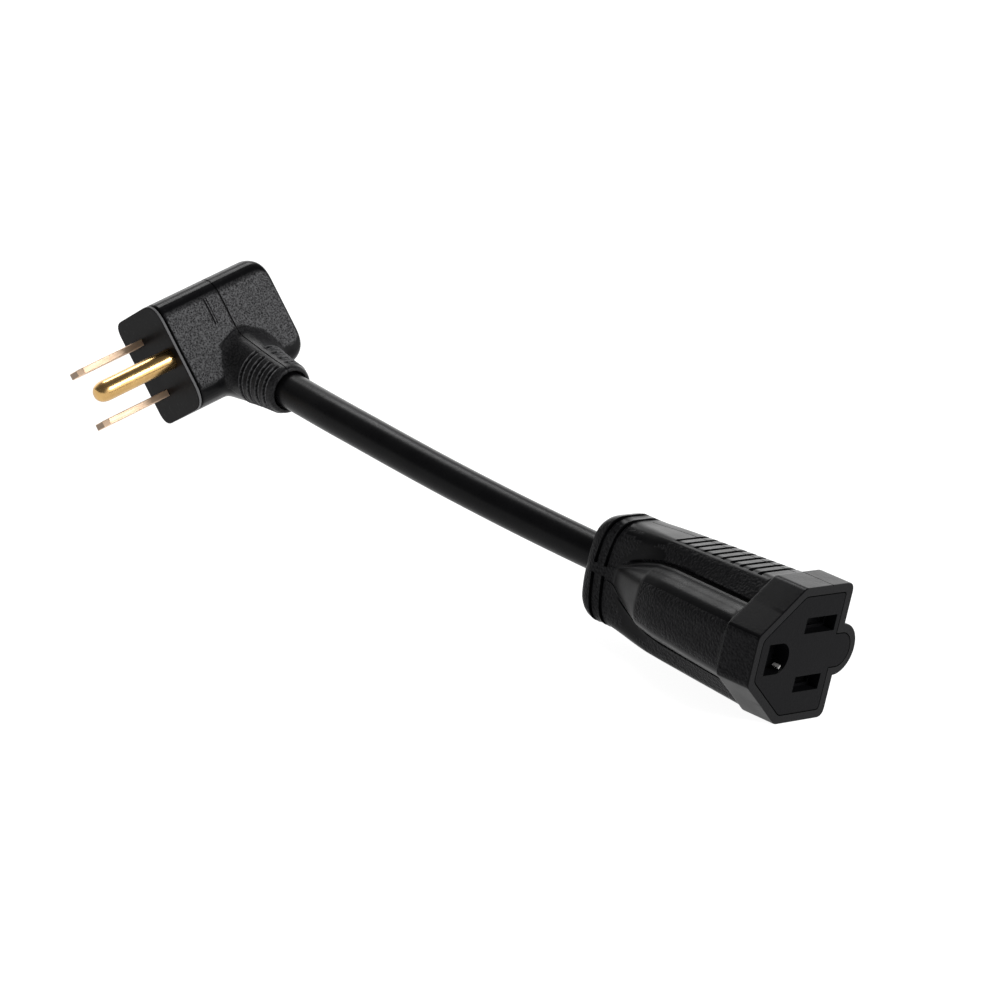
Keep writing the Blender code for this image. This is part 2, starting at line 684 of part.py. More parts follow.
# Each core inside the plug: (along, across, behind) of the cord's way out, from its barrel
PLUG_CORE_ROUTES = {
    "neutral": (
        (2.6, -5.2, 0.0),
        (5.0, -4.7, -0.7),
        (9.0, -2.9, -1.7),
        (13.0, -1.3, -1.9),
        (17.0, -0.9, -1.7),
    ),
    "hot": ((9.0, 1.55, 0.0), (11.0, 1.3, 0.0), (13.5, 1.7, 0.0), (17.0, 1.8, 0.0)),
    "ground": ((13.6, -1.5, 1.5), (14.9, -0.7, 1.53), (17.2, -0.62, 1.54)),
}
PLUG_COPPER_STARTS = {"neutral": (-2.0, -5.2, 0.0), "hot": (5.2, 4.0, 0.0), "ground": (11.07, -4.94, 1.5)}

# Each core's (y, z) inside the connector, as it fans out from the jacket to its contact, at
# the fan places along x
FAN_PLACES = (-43.5, -40.5, -36.5, -32.5, -29.0, -27.3)
CONNECTOR_CORE_ROUTES = {
    "neutral": ((1.6, 1.9), (1.3, 2.9), (0.8, 4.4), (0.1, 6.2), (0.0, 6.35), (0.0, 6.35)),
    "hot": ((1.6, -1.9), (1.3, -2.9), (0.8, -4.4), (0.1, -6.2), (0.0, -6.35), (0.0, -6.35)),
    "ground": ((-1.6, 0.0), (-3.4, 0.0), (-7.4, 0.0), (-11.3, 0.0), (-11.9, 0.0), (-11.9, 0.0)),
}
CONNECTOR_COPPER_ENDS = {
    "neutral": (-23.0, 0.0, 6.35),
    "hot": (-23.0, 0.0, -6.35),
    "ground": (-24.0, -11.9, 0.0),
}


def cord_route(matrix):
    """The cord's middle line from its start inside the plug to its end inside the connector."""
    start = [from_plug(matrix, exit_point(along)) for along in (JACKET_START, 28.0, RELIEF_END + 1.0)]
    return smooth_route(start + [FACE_AT + Vector(point) for point in CORD_ROUTE], 2)


def stranded_route(route, angle, radius):
    """A strand's line inside the cord, turning slowly round its middle."""
    made = []
    for k, middle in enumerate(route):
        first, second = cross_axes(route, k)
        turn = math.radians(angle) + 2 * math.pi * TWIST_TURNS * (1 - k / (len(route) - 1))
        made.append(middle + (first * math.cos(turn) + second * math.sin(turn)) * radius)
    return made


def core(pole, colour, route, matrix):
    """One insulated core, with its copper bared at both ends."""
    inside = stranded_route(route, CORE_ANGLES[pole], CORE_CIRCLE)
    plug_side = [from_plug(matrix, exit_point(*place)) for place in PLUG_CORE_ROUTES[pole]]
    fan = zip(FAN_PLACES, CONNECTOR_CORE_ROUTES[pole])
    far_side = [FACE_AT + Vector((x, *place)) for x, place in fan]
    covered = smooth_route(plug_side, 2) + inside + smooth_route(far_side, 2)
    bared = [from_plug(matrix, exit_point(*PLUG_COPPER_STARTS[pole]))]
    pipe(f"insulation_{pole}", covered, CORE_RADIUS, CORE_BORE, 8, colour)
    copper = bared + covered + [FACE_AT + Vector(CONNECTOR_COPPER_ENDS[pole])]
    bar(f"conductor_{pole}", copper, COPPER_RADIUS, "copper")


def cord(matrix):
    route = cord_route(matrix)
    pipe("cord_jacket", route, CORD_RADIUS, JACKET_BORE, 12, "pvc_black")
    core("neutral", "core_white", route, matrix)
    core("hot", "face_black", route, matrix)
    core("ground", "core_green", route, matrix)
    for k, angle in enumerate(FILLER_ANGLES):
        string = stranded_route(route, angle, FILLER_CIRCLE)[1:-1]
        bar(f"filler_{k + 1}", string, FILLER_RADIUS, "filler_fibre")


def main():
    clear_scene()
    connector = frame_empty("connector_frame", Matrix.Translation(FACE_AT * MM))
    matrix = plug_matrix()
    plug = frame_empty("plug_frame", matrix)
    connector_overmould(connector)
    connector_face_insert(connector)
    connector_rear_cover(connector)
    blade_contact("neutral", BLADE_OFFSET, connector)
    blade_contact("hot", -BLADE_OFFSET, connector)
    ground_contact(connector)
    plug_overmould(plug)
    plug_face_block(plug)
    blade("neutral", -BLADE_OFFSET, exit_point(1.0) - exit_point(0.0), 0.0, plug)
    blade("hot", BLADE_OFFSET, (0, 0, 1), 0.0, plug)
    ground_pin(plug)
    cord(matrix)


main()
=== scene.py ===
"""Looks of a short 15 A adapter lead: right-angle plug, round cord and 3-hole connector.

Pieces are modelled in millimetres, in the frame of the housing they belong to, and are then put
into the part's own frame in metres. In the connector's frame +X leaves the socket face and the
blade line is y = 0. In the plug's frame the axes are p along the prongs, s from the neutral to
the hot blade, and g from the blades to the ground pin.
"""

import json
import math

import bmesh
import bpy
import numpy as np
from mathutils import Matrix, Vector


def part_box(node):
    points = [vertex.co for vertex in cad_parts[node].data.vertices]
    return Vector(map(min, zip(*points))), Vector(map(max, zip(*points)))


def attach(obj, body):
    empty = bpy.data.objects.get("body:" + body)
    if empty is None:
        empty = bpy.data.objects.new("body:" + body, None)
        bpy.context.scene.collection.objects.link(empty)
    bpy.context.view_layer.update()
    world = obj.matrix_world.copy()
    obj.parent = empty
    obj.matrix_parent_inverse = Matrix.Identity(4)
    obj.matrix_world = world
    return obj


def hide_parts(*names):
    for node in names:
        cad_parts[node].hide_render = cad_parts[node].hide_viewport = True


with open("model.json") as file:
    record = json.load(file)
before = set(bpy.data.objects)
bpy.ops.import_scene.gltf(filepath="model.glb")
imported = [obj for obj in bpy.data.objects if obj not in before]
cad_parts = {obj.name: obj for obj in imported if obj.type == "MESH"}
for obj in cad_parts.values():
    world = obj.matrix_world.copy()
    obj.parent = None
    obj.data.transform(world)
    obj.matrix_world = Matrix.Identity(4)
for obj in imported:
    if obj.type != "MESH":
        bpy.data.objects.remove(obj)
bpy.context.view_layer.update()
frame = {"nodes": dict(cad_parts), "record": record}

MM = 0.001

# The 15 A pin pattern
BLADE_OFFSET = 6.35
GROUND_OFFSET = 11.9
BLADE_WIDTH = 6.35
BLADE_THICKNESS = 1.5
BLADE_LENGTH = 17.4
PIN_RADIUS = 2.4
PIN_LENGTH = 20.6

# Connector
FLANGE_DEPTH = 8.3
FLANGE_HALF_HEIGHT = 14.65
FLANGE_SIDE = 8.75
LOBE_RADIUS = 5.6
FACE_RIM = 1.8
CAD_GAP = 0.3
INSERT_GAP = 0.22
INSERT_SIDE = 6.3
FACE_PLATE = 5.0
CORD_Y = 2.2
CORD_Z = 0.2

# Plug
ROW_AXIS = (0.603, 0.2606, -0.7546)
MOUNT_G = 4.5  # the prong face's mount, from the line through the blades
FACE_HALF_LENGTH = 12.85
FACE_LOW = -5.8
FACE_HIGH = 16.4
PLUG_DEPTH = 29.9
LIP_DEPTH = 0.8
SEAM_GAP = 0.26
EXIT_DEPTH = 16.0
EXIT_ANGLE = math.radians(35.0)
RELIEF_END = 32.3

# Cord
CORD_RADIUS = 4.05


def record_mount(name):
    return next(m for m in frame["record"]["mounts"] if m["name"] == name)


def connector_frame():
    """The frame at the middle of the socket face, from where the CAD's face insert ends."""
    low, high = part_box("connector_face_insert")
    face_y = high.y - (FLANGE_SIDE + LOBE_RADIUS - FACE_RIM - CAD_GAP) * MM
    return Matrix.Translation((high.x, face_y, (low.z + high.z) / 2))


def plug_frame():
    """The frame at the middle of the blades on the prong face, from the record's mount there."""
    mount = record_mount("prong_face")
    prong = Vector(mount["axis"]).normalized()
    row = Vector(ROW_AXIS)
    row = (row - prong * row.dot(prong)).normalized()
    ground = prong.cross(row)
    turn = Matrix((prong, row, ground)).transposed().to_4x4()
    return Matrix.Translation(Vector(mount["pos_m"]) - ground * MOUNT_G * MM) @ turn


CONNECTOR = connector_frame()
PLUG = plug_frame()
PRONG_TURN = tuple(PLUG.inverted().to_euler())  # turns the prongs' direction onto x
MM_SCALE = Matrix.Scale(MM, 4)


# Camera, light and floor ------------------------------------------------------------------


def aim_camera():
    look = Vector((-0.590, 0.766, -0.256)).normalized()
    right = Vector((0.739, 0.640, 0.213))
    right = (right - look * right.dot(look)).normalized()
    turn = Matrix((right, right.cross(look), -look)).transposed().to_4x4()
    camera = bpy.data.objects.new("camera", bpy.data.cameras.new("camera"))
    bpy.context.scene.collection.objects.link(camera)
    camera.matrix_world = Matrix.Translation(CONNECTOR @ Vector((0.4796, -0.7352, 0.2486))) @ turn
    camera.data.sensor_width = 36
    camera.data.lens = 162
    camera.data.clip_start = 0.05
    camera.data.clip_end = 50
    bpy.context.scene.camera = camera


def area_light(name, direction, distance, size, power, colour=(1, 1, 1)):
    light = bpy.data.lights.new(name, "AREA")
    light.shape = "RECTANGLE"
    light.size, light.size_y = size
    light.energy = power
    light.color = colour
    lamp = bpy.data.objects.new(name, light)
    bpy.context.scene.collection.objects.link(lamp)
    way = Vector(direction).normalized()
    lamp.location = way * distance
    lamp.rotation_mode = "QUATERNION"
    lamp.rotation_quaternion = way.to_track_quat("Z", "Y")


ROOM = 0.16
BACKDROP = 2.2


def studio_world():
    """A white backdrop low behind the object, in a room that is dim overhead and in front."""
    world = bpy.data.worlds.new("studio")
    bpy.context.scene.world = world
    world.use_nodes = True
    background = world.node_tree.nodes["Background"]
    background.inputs["Color"].default_value = (1.0, 1.0, 1.0, 1.0)
    coords = node(world, "ShaderNodeTexCoord").outputs["Generated"]
    axes = node(world, "ShaderNodeSeparateXYZ", {"Vector": coords})
    behind = spread(world, axes.outputs["Y"], 0.0, 1.0, -0.55, 0.25)
    low = spread(world, axes.outputs["Z"], 1.0, 0.0, 0.28, 0.8)
    both = node(world, "ShaderNodeMath", {0: behind, 1: low}, operation="MULTIPLY")
    link(world, spread(world, both.outputs[0], ROOM, BACKDROP, 0.0, 1.0), background, "Strength")


def light_stage():
    area_light("top_softbox", (-0.56, 0.25, 0.79), 1.6, (0.6, 0.4), 9)
    area_light("right_softbox", (0.78, 0.12, 0.62), 1.6, (0.55, 0.55), 15)
    studio_world()
    bpy.context.scene.view_settings.view_transform = "Standard"


def make_floor():
    bm = bmesh.new()
    bmesh.ops.create_grid(bm, x_segments=8, y_segments=8, size=6.0)
    mesh = bpy.data.meshes.new("floor")
    bm.to_mesh(mesh)
    bm.free()
    floor = bpy.data.objects.new("floor", mesh)
    bpy.context.scene.collection.objects.link(floor)
    material, shader = new_material("floor_panel", (0.2, 0.2, 0.2), 0.0, 0.9)
    shader.inputs["Specular IOR Level"].default_value = 0.1
    shader.inputs["Emission Color"].default_value = (1.0, 1.0, 1.0, 1.0)
    shader.inputs["Emission Strength"].default_value = 0.95
    mesh.materials.append(material)


# Materials --------------------------------------------------------------------------------


def new_material(name, colour, metallic, roughness):
    material = bpy.data.materials.new(name)
    material.use_nodes = True
    shader = material.node_tree.nodes["Principled BSDF"]
    shader.inputs["Base Color"].default_value = (*colour, 1.0)
    shader.inputs["Metallic"].default_value = metallic
    shader.inputs["Roughness"].default_value = roughness
    return material, shader


def node(material, kind, inputs=None, **settings):
    made = material.node_tree.nodes.new(kind)
    for key, value in settings.items():
        setattr(made, key, value)
    for key, value in (inputs or {}).items():
        if isinstance(value, bpy.types.NodeSocket):
            material.node_tree.links.new(value, made.inputs[key])
        else:
            made.inputs[key].default_value = value
    return made


def millimetres(material, stretch=(1.0, 1.0, 1.0), turn=(0.0, 0.0, 0.0)):
    """Texture coordinates in the part's frame, in millimetres, stretched along the turned axes."""
    coords = node(material, "ShaderNodeTexCoord")
    turned = node(material, "ShaderNodeMapping", {"Vector": coords.outputs["Object"], "Rotation": turn})
    scale = tuple(1 / (MM * k) for k in stretch)
    return node(material, "ShaderNodeMapping", {"Vector": turned.outputs[0], "Scale": scale}).outputs[0]


def noise(material, vector, scale, detail=2.0, roughness=0.5):
    inputs = {"Vector": vector, "Scale": scale, "Detail": detail, "Roughness": roughness}
    return node(material, "ShaderNodeTexNoise", inputs).outputs["Fac"]


def spread(material, value, low, high, start=0.3, end=0.7):
    """Value from start to end, mapped to low to high."""
    inputs = {"Value": value, "From Min": start, "From Max": end, "To Min": low, "To Max": high}
    return node(material, "ShaderNodeMapRange", inputs).outputs[0]


def combined(material, operation, first, second):
    """A sum, product or maximum of two values."""
    return node(material, "ShaderNodeMath", {0: first, 1: second}, operation=operation).outputs[0]


def attribute(material, name):
    """A value that the mesh carries; it is 0 where the mesh has none of that name."""
    return node(material, "ShaderNodeAttribute", attribute_name=name).outputs["Fac"]


MIX_FACTOR, MIX_FIRST, MIX_SECOND = 0, 6, 7  # the sockets of a Mix node that mixes colours
MIXED = 2


def blend_colours(material, factor, first, second):
    """A mix of two colours, each given as a tuple or as a node's output."""
    inputs = {MIX_FACTOR: factor}
    for socket, colour in ((MIX_FIRST, first), (MIX_SECOND, second)):
        inputs[socket] = (*colour, 1.0) if isinstance(colour, tuple) else colour
    return node(material, "ShaderNodeMix", inputs, data_type="RGBA").outputs[MIXED]


def link(material, socket, shader, name):
    material.node_tree.links.new(socket, shader.inputs[name])


def roughen(material, shader, heights, strength, depth):
    """Gives the shader fine relief from heights, depth in millimetres."""
    inputs = {"Height": heights, "Strength": strength, "Distance": depth * MM}
    link(material, node(material, "ShaderNodeBump", inputs).outputs[0], shader, "Normal")


BLACK_PVC = (0.003, 0.003, 0.0035)
# How far the metals' drawn grain is stretched along the piece and across it
PRONG_GRAIN = (5.0, 0.3, 0.3)
CONTACT_GRAIN = (5.0, 0.2, 0.2)


def moulded_pvc(name, dark, light, smooth_roughness, grain_roughness, gloss, cell=0.5, depth=0.16):
    """Black moulded PVC: spark-textured as the grain attribute says, and painted lighter, as a painted
    highlight, where the edge attribute says.

    cell is about the width of the texture's pits, and depth scales how deep they look, both in
    millimetres.
    """
    material, shader = new_material(name, dark, 0.0, smooth_roughness)
    shader.inputs["Specular IOR Level"].default_value = gloss
    vector = millimetres(material)
    grain = attribute(material, "grain")
    voronoi = {"Vector": vector, "Scale": 1 / cell}
    cells = node(material, "ShaderNodeTexVoronoi", voronoi, feature="SMOOTH_F1").outputs["Distance"]
    pits = combined(material, "ADD", cells, noise(material, vector, 0.9 / cell, 3.0, 0.65))
    skin = combined(material, "MULTIPLY", noise(material, vector, 3.0, 2.0, 0.5), 0.02)
    heights = combined(material, "ADD", combined(material, "MULTIPLY", pits, grain), skin)
    roughen(material, shader, heights, 1.0, depth)
    peaks = combined(material, "MULTIPLY", spread(material, pits, 0.0, 1.0, 0.6, 1.15), grain)
    scuffs = spread(material, noise(material, vector, 1.1, 5.0, 0.7), 0.0, 0.12, 0.56, 0.78)
    # The edge attribute is a painted highlight: a lighter colour where light would catch the piece,
    # added to the random scuffs.
    scuffs_and_highlight = combined(material, "MAXIMUM", scuffs, attribute(material, "edge"))
    tint = combined(material, "MAXIMUM", peaks, scuffs_and_highlight)
    link(material, blend_colours(material, tint, dark, light), shader, "Base Color")
    even = spread(material, grain, smooth_roughness, grain_roughness, 0.0, 1.0)
    vary = spread(material, noise(material, vector, 0.16, 4.0, 0.6), -0.04, 0.04)
    link(material, combined(material, "ADD", even, vary), shader, "Roughness")
    return material


def jacket_pvc():
    """Extruded PVC: satin, with faint lines along the cord and a slightly uneven skin."""
    material, shader = new_material("jacket_pvc", (0.004, 0.004, 0.0045), 0.0, 0.3)
    shader.inputs["Specular IOR Level"].default_value = 0.07
    lines = noise(material, millimetres(material, (14.0, 0.5, 0.5)), 1.0, 3.0, 0.6)
    skin = noise(material, millimetres(material), 1.6, 3.0, 0.6)
    roughen(material, shader, combined(material, "ADD", lines, skin), 0.5, 0.02)
    link(material, spread(material, skin, 0.26, 0.36), shader, "Roughness")
    clouds = spread(material, noise(material, millimetres(material), 0.12, 4.0, 0.6), 0.0, 1.0)
    colours = blend_colours(material, clouds, BLACK_PVC, (0.006, 0.006, 0.0065))
    link(material, colours, shader, "Base Color")
    return material


def brushed_metal(name, first, second, low, high, stretch, turn=(0.0, 0.0, 0.0)):
    """Metal with a fine drawn grain along the stretched axis, and painted darker on the marked faces,
    as a painted dark reflection.

    first and second are its two tints, and low and high the range of its roughness.
    """
    material, shader = new_material(name, first, 1.0, low)
    drawn = noise(material, millimetres(material, stretch, turn), 1.0, 4.0, 0.6)
    clouds = spread(material, noise(material, millimetres(material), 0.35, 3.0, 0.6), 0.0, 1.0)
    clean = blend_colours(material, clouds, first, second)
    # A painted dark reflection: the marked faces get a darker copy of the second tint.
    end_shade = tuple(0.36 * channel + 0.02 for channel in second)
    colours = blend_colours(material, attribute(material, "dark_end_reflection"), clean, end_shade)
    link(material, colours, shader, "Base Color")
    link(material, spread(material, drawn, low, high), shader, "Roughness")
    roughen(material, shader, drawn, 0.15, 0.01)
    return material


def core_plastic(name, colour, shade):
    """Extruded core insulation."""
    material, shader = new_material(name, colour, 0.0, 0.4)
    clouds = noise(material, millimetres(material), 0.8, 3.0, 0.6)
    colours = blend_colours(material, spread(material, clouds, 0.0, 1.0), colour, shade)
    link(material, colours, shader, "Base Color")
    link(material, spread(material, clouds, 0.34, 0.5), shader, "Roughness")
    roughen(material, shader, clouds, 0.3, 0.02)
    return material


def filler_fibre():
    """Loose fibre string: streaks along the cord."""
    dark, light = (0.42, 0.36, 0.26), (0.72, 0.66, 0.52)
    material, shader = new_material("filler_fibre", (0.6, 0.53, 0.4), 0.0, 0.9)
    strands = noise(material, millimetres(material, (5.0, 0.3, 0.3)), 1.0, 4.0, 0.7)
    colours = blend_colours(material, spread(material, strands, 0.0, 1.0), dark, light)
    link(material, colours, shader, "Base Color")
    link(material, spread(material, strands, 0.8, 1.0), shader, "Roughness")
    roughen(material, shader, strands, 0.8, 0.05)
    return material


# Mesh helpers -----------------------------------------------------------------------------


def raw_object(name, bm):
    """An object in millimetres, still in its housing's frame."""
    bmesh.ops.recalc_face_normals(bm, faces=bm.faces)
    mesh = bpy.data.meshes.new(name)
    bm.to_mesh(mesh)
    bm.free()
    obj = bpy.data.objects.new(name, mesh)
    bpy.context.scene.collection.objects.link(obj)
    return obj


def applied(obj):
    """The object with its modifiers made real."""
    bpy.context.view_layer.update()
    graph = bpy.context.evaluated_depsgraph_get()
    mesh = bpy.data.meshes.new_from_object(obj.evaluated_get(graph))
    obj.modifiers.clear()
    obj.data = mesh
    return obj


def carve(obj, *cutters, operation="DIFFERENCE"):
    """Cuts the cutters out of the object, or joins them to it, and removes them."""
    for cutter in cutters:
        modifier = obj.modifiers.new("carve", "BOOLEAN")
        modifier.operation = operation
        modifier.solver = "EXACT"
        modifier.object = cutter
    applied(obj)
    for cutter in cutters:
        bpy.data.objects.remove(cutter, do_unlink=True)
    return obj


def soften(obj, width, angle=40.0, segments=2):
    """Rounds the edges that are sharper than the angle."""
    modifier = obj.modifiers.new("soften", "BEVEL")
    modifier.width = width
    modifier.segments = segments
    modifier.limit_method = "ANGLE"
    modifier.angle_limit = math.radians(angle)
    modifier.use_clamp_overlap = True
    return applied(obj)


def place(obj, housing, material, slot, *nodes, sharp=32.0):
    """Puts a finished piece into the part's frame, on its body, for the CAD nodes it stands for."""
    obj.data.transform(housing @ MM_SCALE)
    obj.data.materials.clear()
    obj.data.materials.append(material)
    obj.data.shade_smooth()
    obj.data.set_sharp_from_angle(angle=math.radians(sharp))
    flatten = obj.modifiers.new("flat_faces_stay_flat", "WEIGHTED_NORMAL")
    flatten.weight = 100
    flatten.keep_sharp = True
    applied(obj)
    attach(obj, "root")
    if nodes:
        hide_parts(*nodes)
    return obj


def set_values(obj, name, values, domain="POINT"):
    """Stores one value for each point or face, which a material reads by its name."""
    store = obj.data.attributes.new(name, "FLOAT", domain)
    store.data.foreach_set("value", np.asarray(values, np.float32))


def triples(items, name):
    """One vector property of the mesh's faces or vertices, as an array with a row for each."""
    values = np.empty(len(items) * 3, np.float32)
    items.foreach_get(name, values)
    return values.reshape(-1, 3).astype(float)


def face_arrays(obj):
    return triples(obj.data.polygons, "center"), triples(obj.data.polygons, "normal")


def vertex_arrays(obj):
    return triples(obj.data.vertices, "co"), triples(obj.data.vertices, "normal")


def move_vertices(obj, points):
    obj.data.vertices.foreach_set("co", points.astype(np.float32).ravel())
    obj.data.update()


def ease(values, low, high):
    """0 at low and 1 at high, with a smooth start and end."""
    t = np.clip((values - low) / (high - low), 0, 1)
    return t * t * (3 - 2 * t)


def loft(rings):
    """A closed skin through rings that all have as many points."""
    bm = bmesh.new()
    rows = [[bm.verts.new(point) for point in ring] for ring in rings]
    count = len(rows[0])
    for low, high in zip(rows, rows[1:]):
        for i in range(count):
            j = (i + 1) % count
            bm.faces.new((low[i], low[j], high[j], high[i]))
    bm.faces.new(rows[0])
    bm.faces.new(rows[-1])
    return bm


def prism(outline, low, high):
    """An outline of (y, z) points pushed from low to high along x."""
    return loft([[(x, y, z) for y, z in outline] for x in (low, high)])


def box(low, high):
    outline = ((low[1], low[2]), (high[1], low[2]), (high[1], high[2]), (low[1], high[2]))
    return prism(outline, low[0], high[0])


def turned(profile, start, axis, sides):
    """A profile of (distance along the axis, radius) pairs turned round the axis."""
    along = Vector(axis).normalized()
    across = along.orthogonal().normalized()
    third = along.cross(across)
    rings = []
    for distance, radius in profile:
        middle = Vector(start) + along * distance
        ring = []
        for k in range(sides):
            angle = 2 * math.pi * k / sides
            ring.append(middle + (across * math.cos(angle) + third * math.sin(angle)) * radius)
        rings.append(ring)
    return loft(rings)


def rod(start, end, radius, sides=48):
    axis = Vector(end) - Vector(start)
    return turned(((0, radius), (axis.length, radius)), start, axis, sides)


def corner(before, at, after, cut, steps):
    """The points of a rounded corner, whose bend starts and ends at cut from the corner."""
    at = Vector(at)
    to_before = Vector(before) - at
    to_after = Vector(after) - at
    start = at + to_before.normalized() * min(cut, 0.45 * to_before.length)
    end = at + to_after.normalized() * min(cut, 0.45 * to_after.length)
    points = []
    for k in range(steps + 1):
        t = k / steps
        points.append(tuple(start * (1 - t) ** 2 + at * 2 * t * (1 - t) + end * t**2))
    return points


def rounded(corners, cuts, steps):
    points = []
    for k, at in enumerate(corners):
        points += corner(corners[k - 1], at, corners[(k + 1) % len(corners)], cuts[k], steps)
    return points


# Cord -------------------------------------------------------------------------------------


def exit_point(along):
    """A point on the middle line of the cord's way out of the plug."""
    return Vector((-EXIT_DEPTH, along * math.sin(EXIT_ANGLE), along * math.cos(EXIT_ANGLE)))


EXIT_START = exit_point(0.0)
EXIT_WAY = exit_point(1.0) - EXIT_START

# The cord's middle line, in metres: from inside the plug, then from the relief's mouth in the
# connector's frame
PLUG_ROUTE = (20.0, 28.0, RELIEF_END + 1.0)
CORD_ROUTE = (
    (-0.139, 0.0019, 0.00475),
    (-0.127, 0.00105, 0.00415),
    (-0.1155, 0.00065, 0.0034),
    (-0.104, 0.0006, 0.0026),
    (-0.0925, 0.00085, 0.00185),
    (-0.081, 0.0013, 0.00115),
    (-0.069, 0.00185, 0.00055),
    (-0.058, 0.0022, 0.0002),
    (-0.047, 0.0022, 0.0002),
)


def smooth_route(points, per_span):
    """A smooth line through the points, with per_span steps from each to the next."""
    points = [Vector(point) for point in points]
    ends = [points[0] * 2 - points[1]] + points + [points[-1] * 2 - points[-2]]
    made = []
    for a, b, c, d in zip(ends, ends[1:], ends[2:], ends[3:]):
        square = 2 * a - 5 * b + 4 * c - d
        cube = 3 * b - a - 3 * c + d
        for k in range(per_span):
            t = k / per_span
            made.append(0.5 * (2 * b + (c - a) * t + square * t**2 + cube * t**3))
    made.append(points[-1])
    return made


def make_cord():
    start = [PLUG @ (exit_point(along) * MM) for along in PLUG_ROUTE]
    route = smooth_route(start + [CONNECTOR @ Vector(point) for point in CORD_ROUTE], 4)
    curve = bpy.data.curves.new("cord", "CURVE")
    curve.dimensions = "3D"
    curve.bevel_depth = CORD_RADIUS * MM
    curve.bevel_resolution = 14
    curve.use_fill_caps = True
    spline = curve.splines.new("POLY")
    spline.points.add(len(route) - 1)
    for point, at in zip(spline.points, route):
        point.co = (*at, 1.0)
    spline.use_smooth = True
    curve.materials.append(jacket_pvc())
    cord = bpy.data.objects.new("cord", curve)
    bpy.context.scene.collection.objects.link(cord)
    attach(cord, "root")
    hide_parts("cord_jacket")


# Connector --------------------------------------------------------------------------------

VALLEYS = (3, 6)  # the outline's corners in the valleys beside the ridge
SLOPE_ENDS = (4, 6)  # the corners at which the ridge's two slopes end
SLOPE_BULGE = 0.16
LOBE_STEPS = 28
CORNER_STEPS = 8
WALL_STEPS = 8
# Roundings of the outline's corners: far top, near top, valley, ridge
SOFT_CUTS = (6.0, 4.2, 1.2, 3.6)
FLANGE_CUTS = (2.0, 0.8, 0.5, 0.9)
GRIP_EDGE_CUT = 1.8  # the near corner's cut beside the grips

# x, far wall y, half height, top's end y, valley y and z, ridge y and z
BODY_STATIONS = (
    (-50.0, 8.8, 11.6, -6.3, -6.4, 2.0, -6.5, 1.0),
    (-47.9, 8.8, 11.7, -6.5, -6.6, 2.4, -6.7, 1.1),
    (-44.0, 8.7, 12.0, -6.7, -7.2, 4.6, -9.3, 2.5),
    (-40.0, 8.6, 12.25, -7.0, -7.9, 6.2, -11.9, 3.6),
    (-35.6, 8.5, 12.5, -7.3, -8.6, 7.5, -14.7, 4.7),
    (-31.0, 8.4, 12.8, -7.5, -9.3, 8.1, -15.9, 5.0),
    (-22.0, 8.2, 13.3, -7.9, -10.7, 8.4, -17.5, 5.3),
    (-9.2, 7.9, 14.0, -8.4, -12.6, 8.8, -19.5, 5.6),
)
STATION_X, STATION_VALLEY = 0, 4  # the columns that hold x and the valley's y
BODY_SECTIONS = 38
VALLEY_NOTCH = 0.75
RAMP_START = -47.9
RAMP_END = -35.6
BREAK_SOFTNESS = 0.5
TAIL_END = -57.0
# Distance from the tail's end, and how far the outline is drawn in there
TAIL_ROUNDING = ((0.0, 2.6), (0.12, 1.95), (0.4, 1.3), (0.9, 0.7), (1.6, 0.25), (2.4, 0.0))
TAIL_BOW = 0.0165
RING_PLACES = (-53.7, -50.9)
RING_HALF_GAP = 1.15
RING_TOP_END = 4.8
# Distance from a ring groove's middle, and how deep the outline is sunk there
RING_STEPS = (
    (-0.8, 0.0),
    (-0.52, -0.1),
    (-0.42, 0.02),
    (-0.34, 0.8),
    (-0.24, 1.0),
    (0.24, 1.0),
    (0.34, 0.8),
    (0.42, 0.02),
    (0.52, -0.1),
    (0.8, 0.0),
)
FLANGE_SHAPE = (FLANGE_SIDE, FLANGE_HALF_HEIGHT, -7.8, -14.0, 9.975, -20.4, 5.3)
# x, and how far the flange's outline is drawn in there
FLANGE_STEPS = (
    (-FLANGE_DEPTH - 0.22, 0.45),
    (-FLANGE_DEPTH - 0.12, 0.18),
    (-FLANGE_DEPTH + 0.1, 0.03),
    (-FLANGE_DEPTH + 0.4, 0.0),
    (-4.0, 0.0),
    (-0.3, 0.0),
    (-0.12, 0.03),
    (-0.03, 0.1),
    (0.0, 0.2),
)
GRIP_COUNT = 10
GRIP_FIRST = -34.8
GRIP_PITCH = 2.55
GRIP_WIDTH = 1.05
GRIP_DEPTH = 1.2
GRIP_DIP = 0.15
GRIP_DIP_LENGTH = 2.0
GRIP_FAR_END = 5.8
GRIP_NEAR_ENDS = (-6.4, -8.2)
TOP_AT_FIRST_GRIP = 12.55
TOP_SLOPE = 0.057
PARTING_Y = 1.15
SEAM_SECTION = ((-0.12, 0.5), (-0.12, -0.12), (0.0, -0.3), (0.12, -0.12), (0.12, 0.5))
RECESS_PROFILE = ((0, 5.0), (0.5, 4.75), (2.6, 4.55), (2.6, 4.2), (8, 4.2))
SLOT_HALF_WIDTH = 1.7
THROAT_HALF_WIDTH = 1.15
NEUTRAL_SLOT = 10.2
HOT_SLOT = 8.7
GROUND_HOLE_RADIUS = 3.3
GROUND_HOLE_FLAT = 4.1
TUNNEL_RADIUS = 3.2
CARRIER_BACK = -27.0
CARRIER_FRONT = -4.5
LEAF_PROFILE = ((-2.2, 2.9), (-1.5, 2.95), (-0.9, 3.0), (-0.6, 3.1))  # x, radius
LEAF_ANGLES = (-58, -41)
LEAF_THICKNESS = 0.35


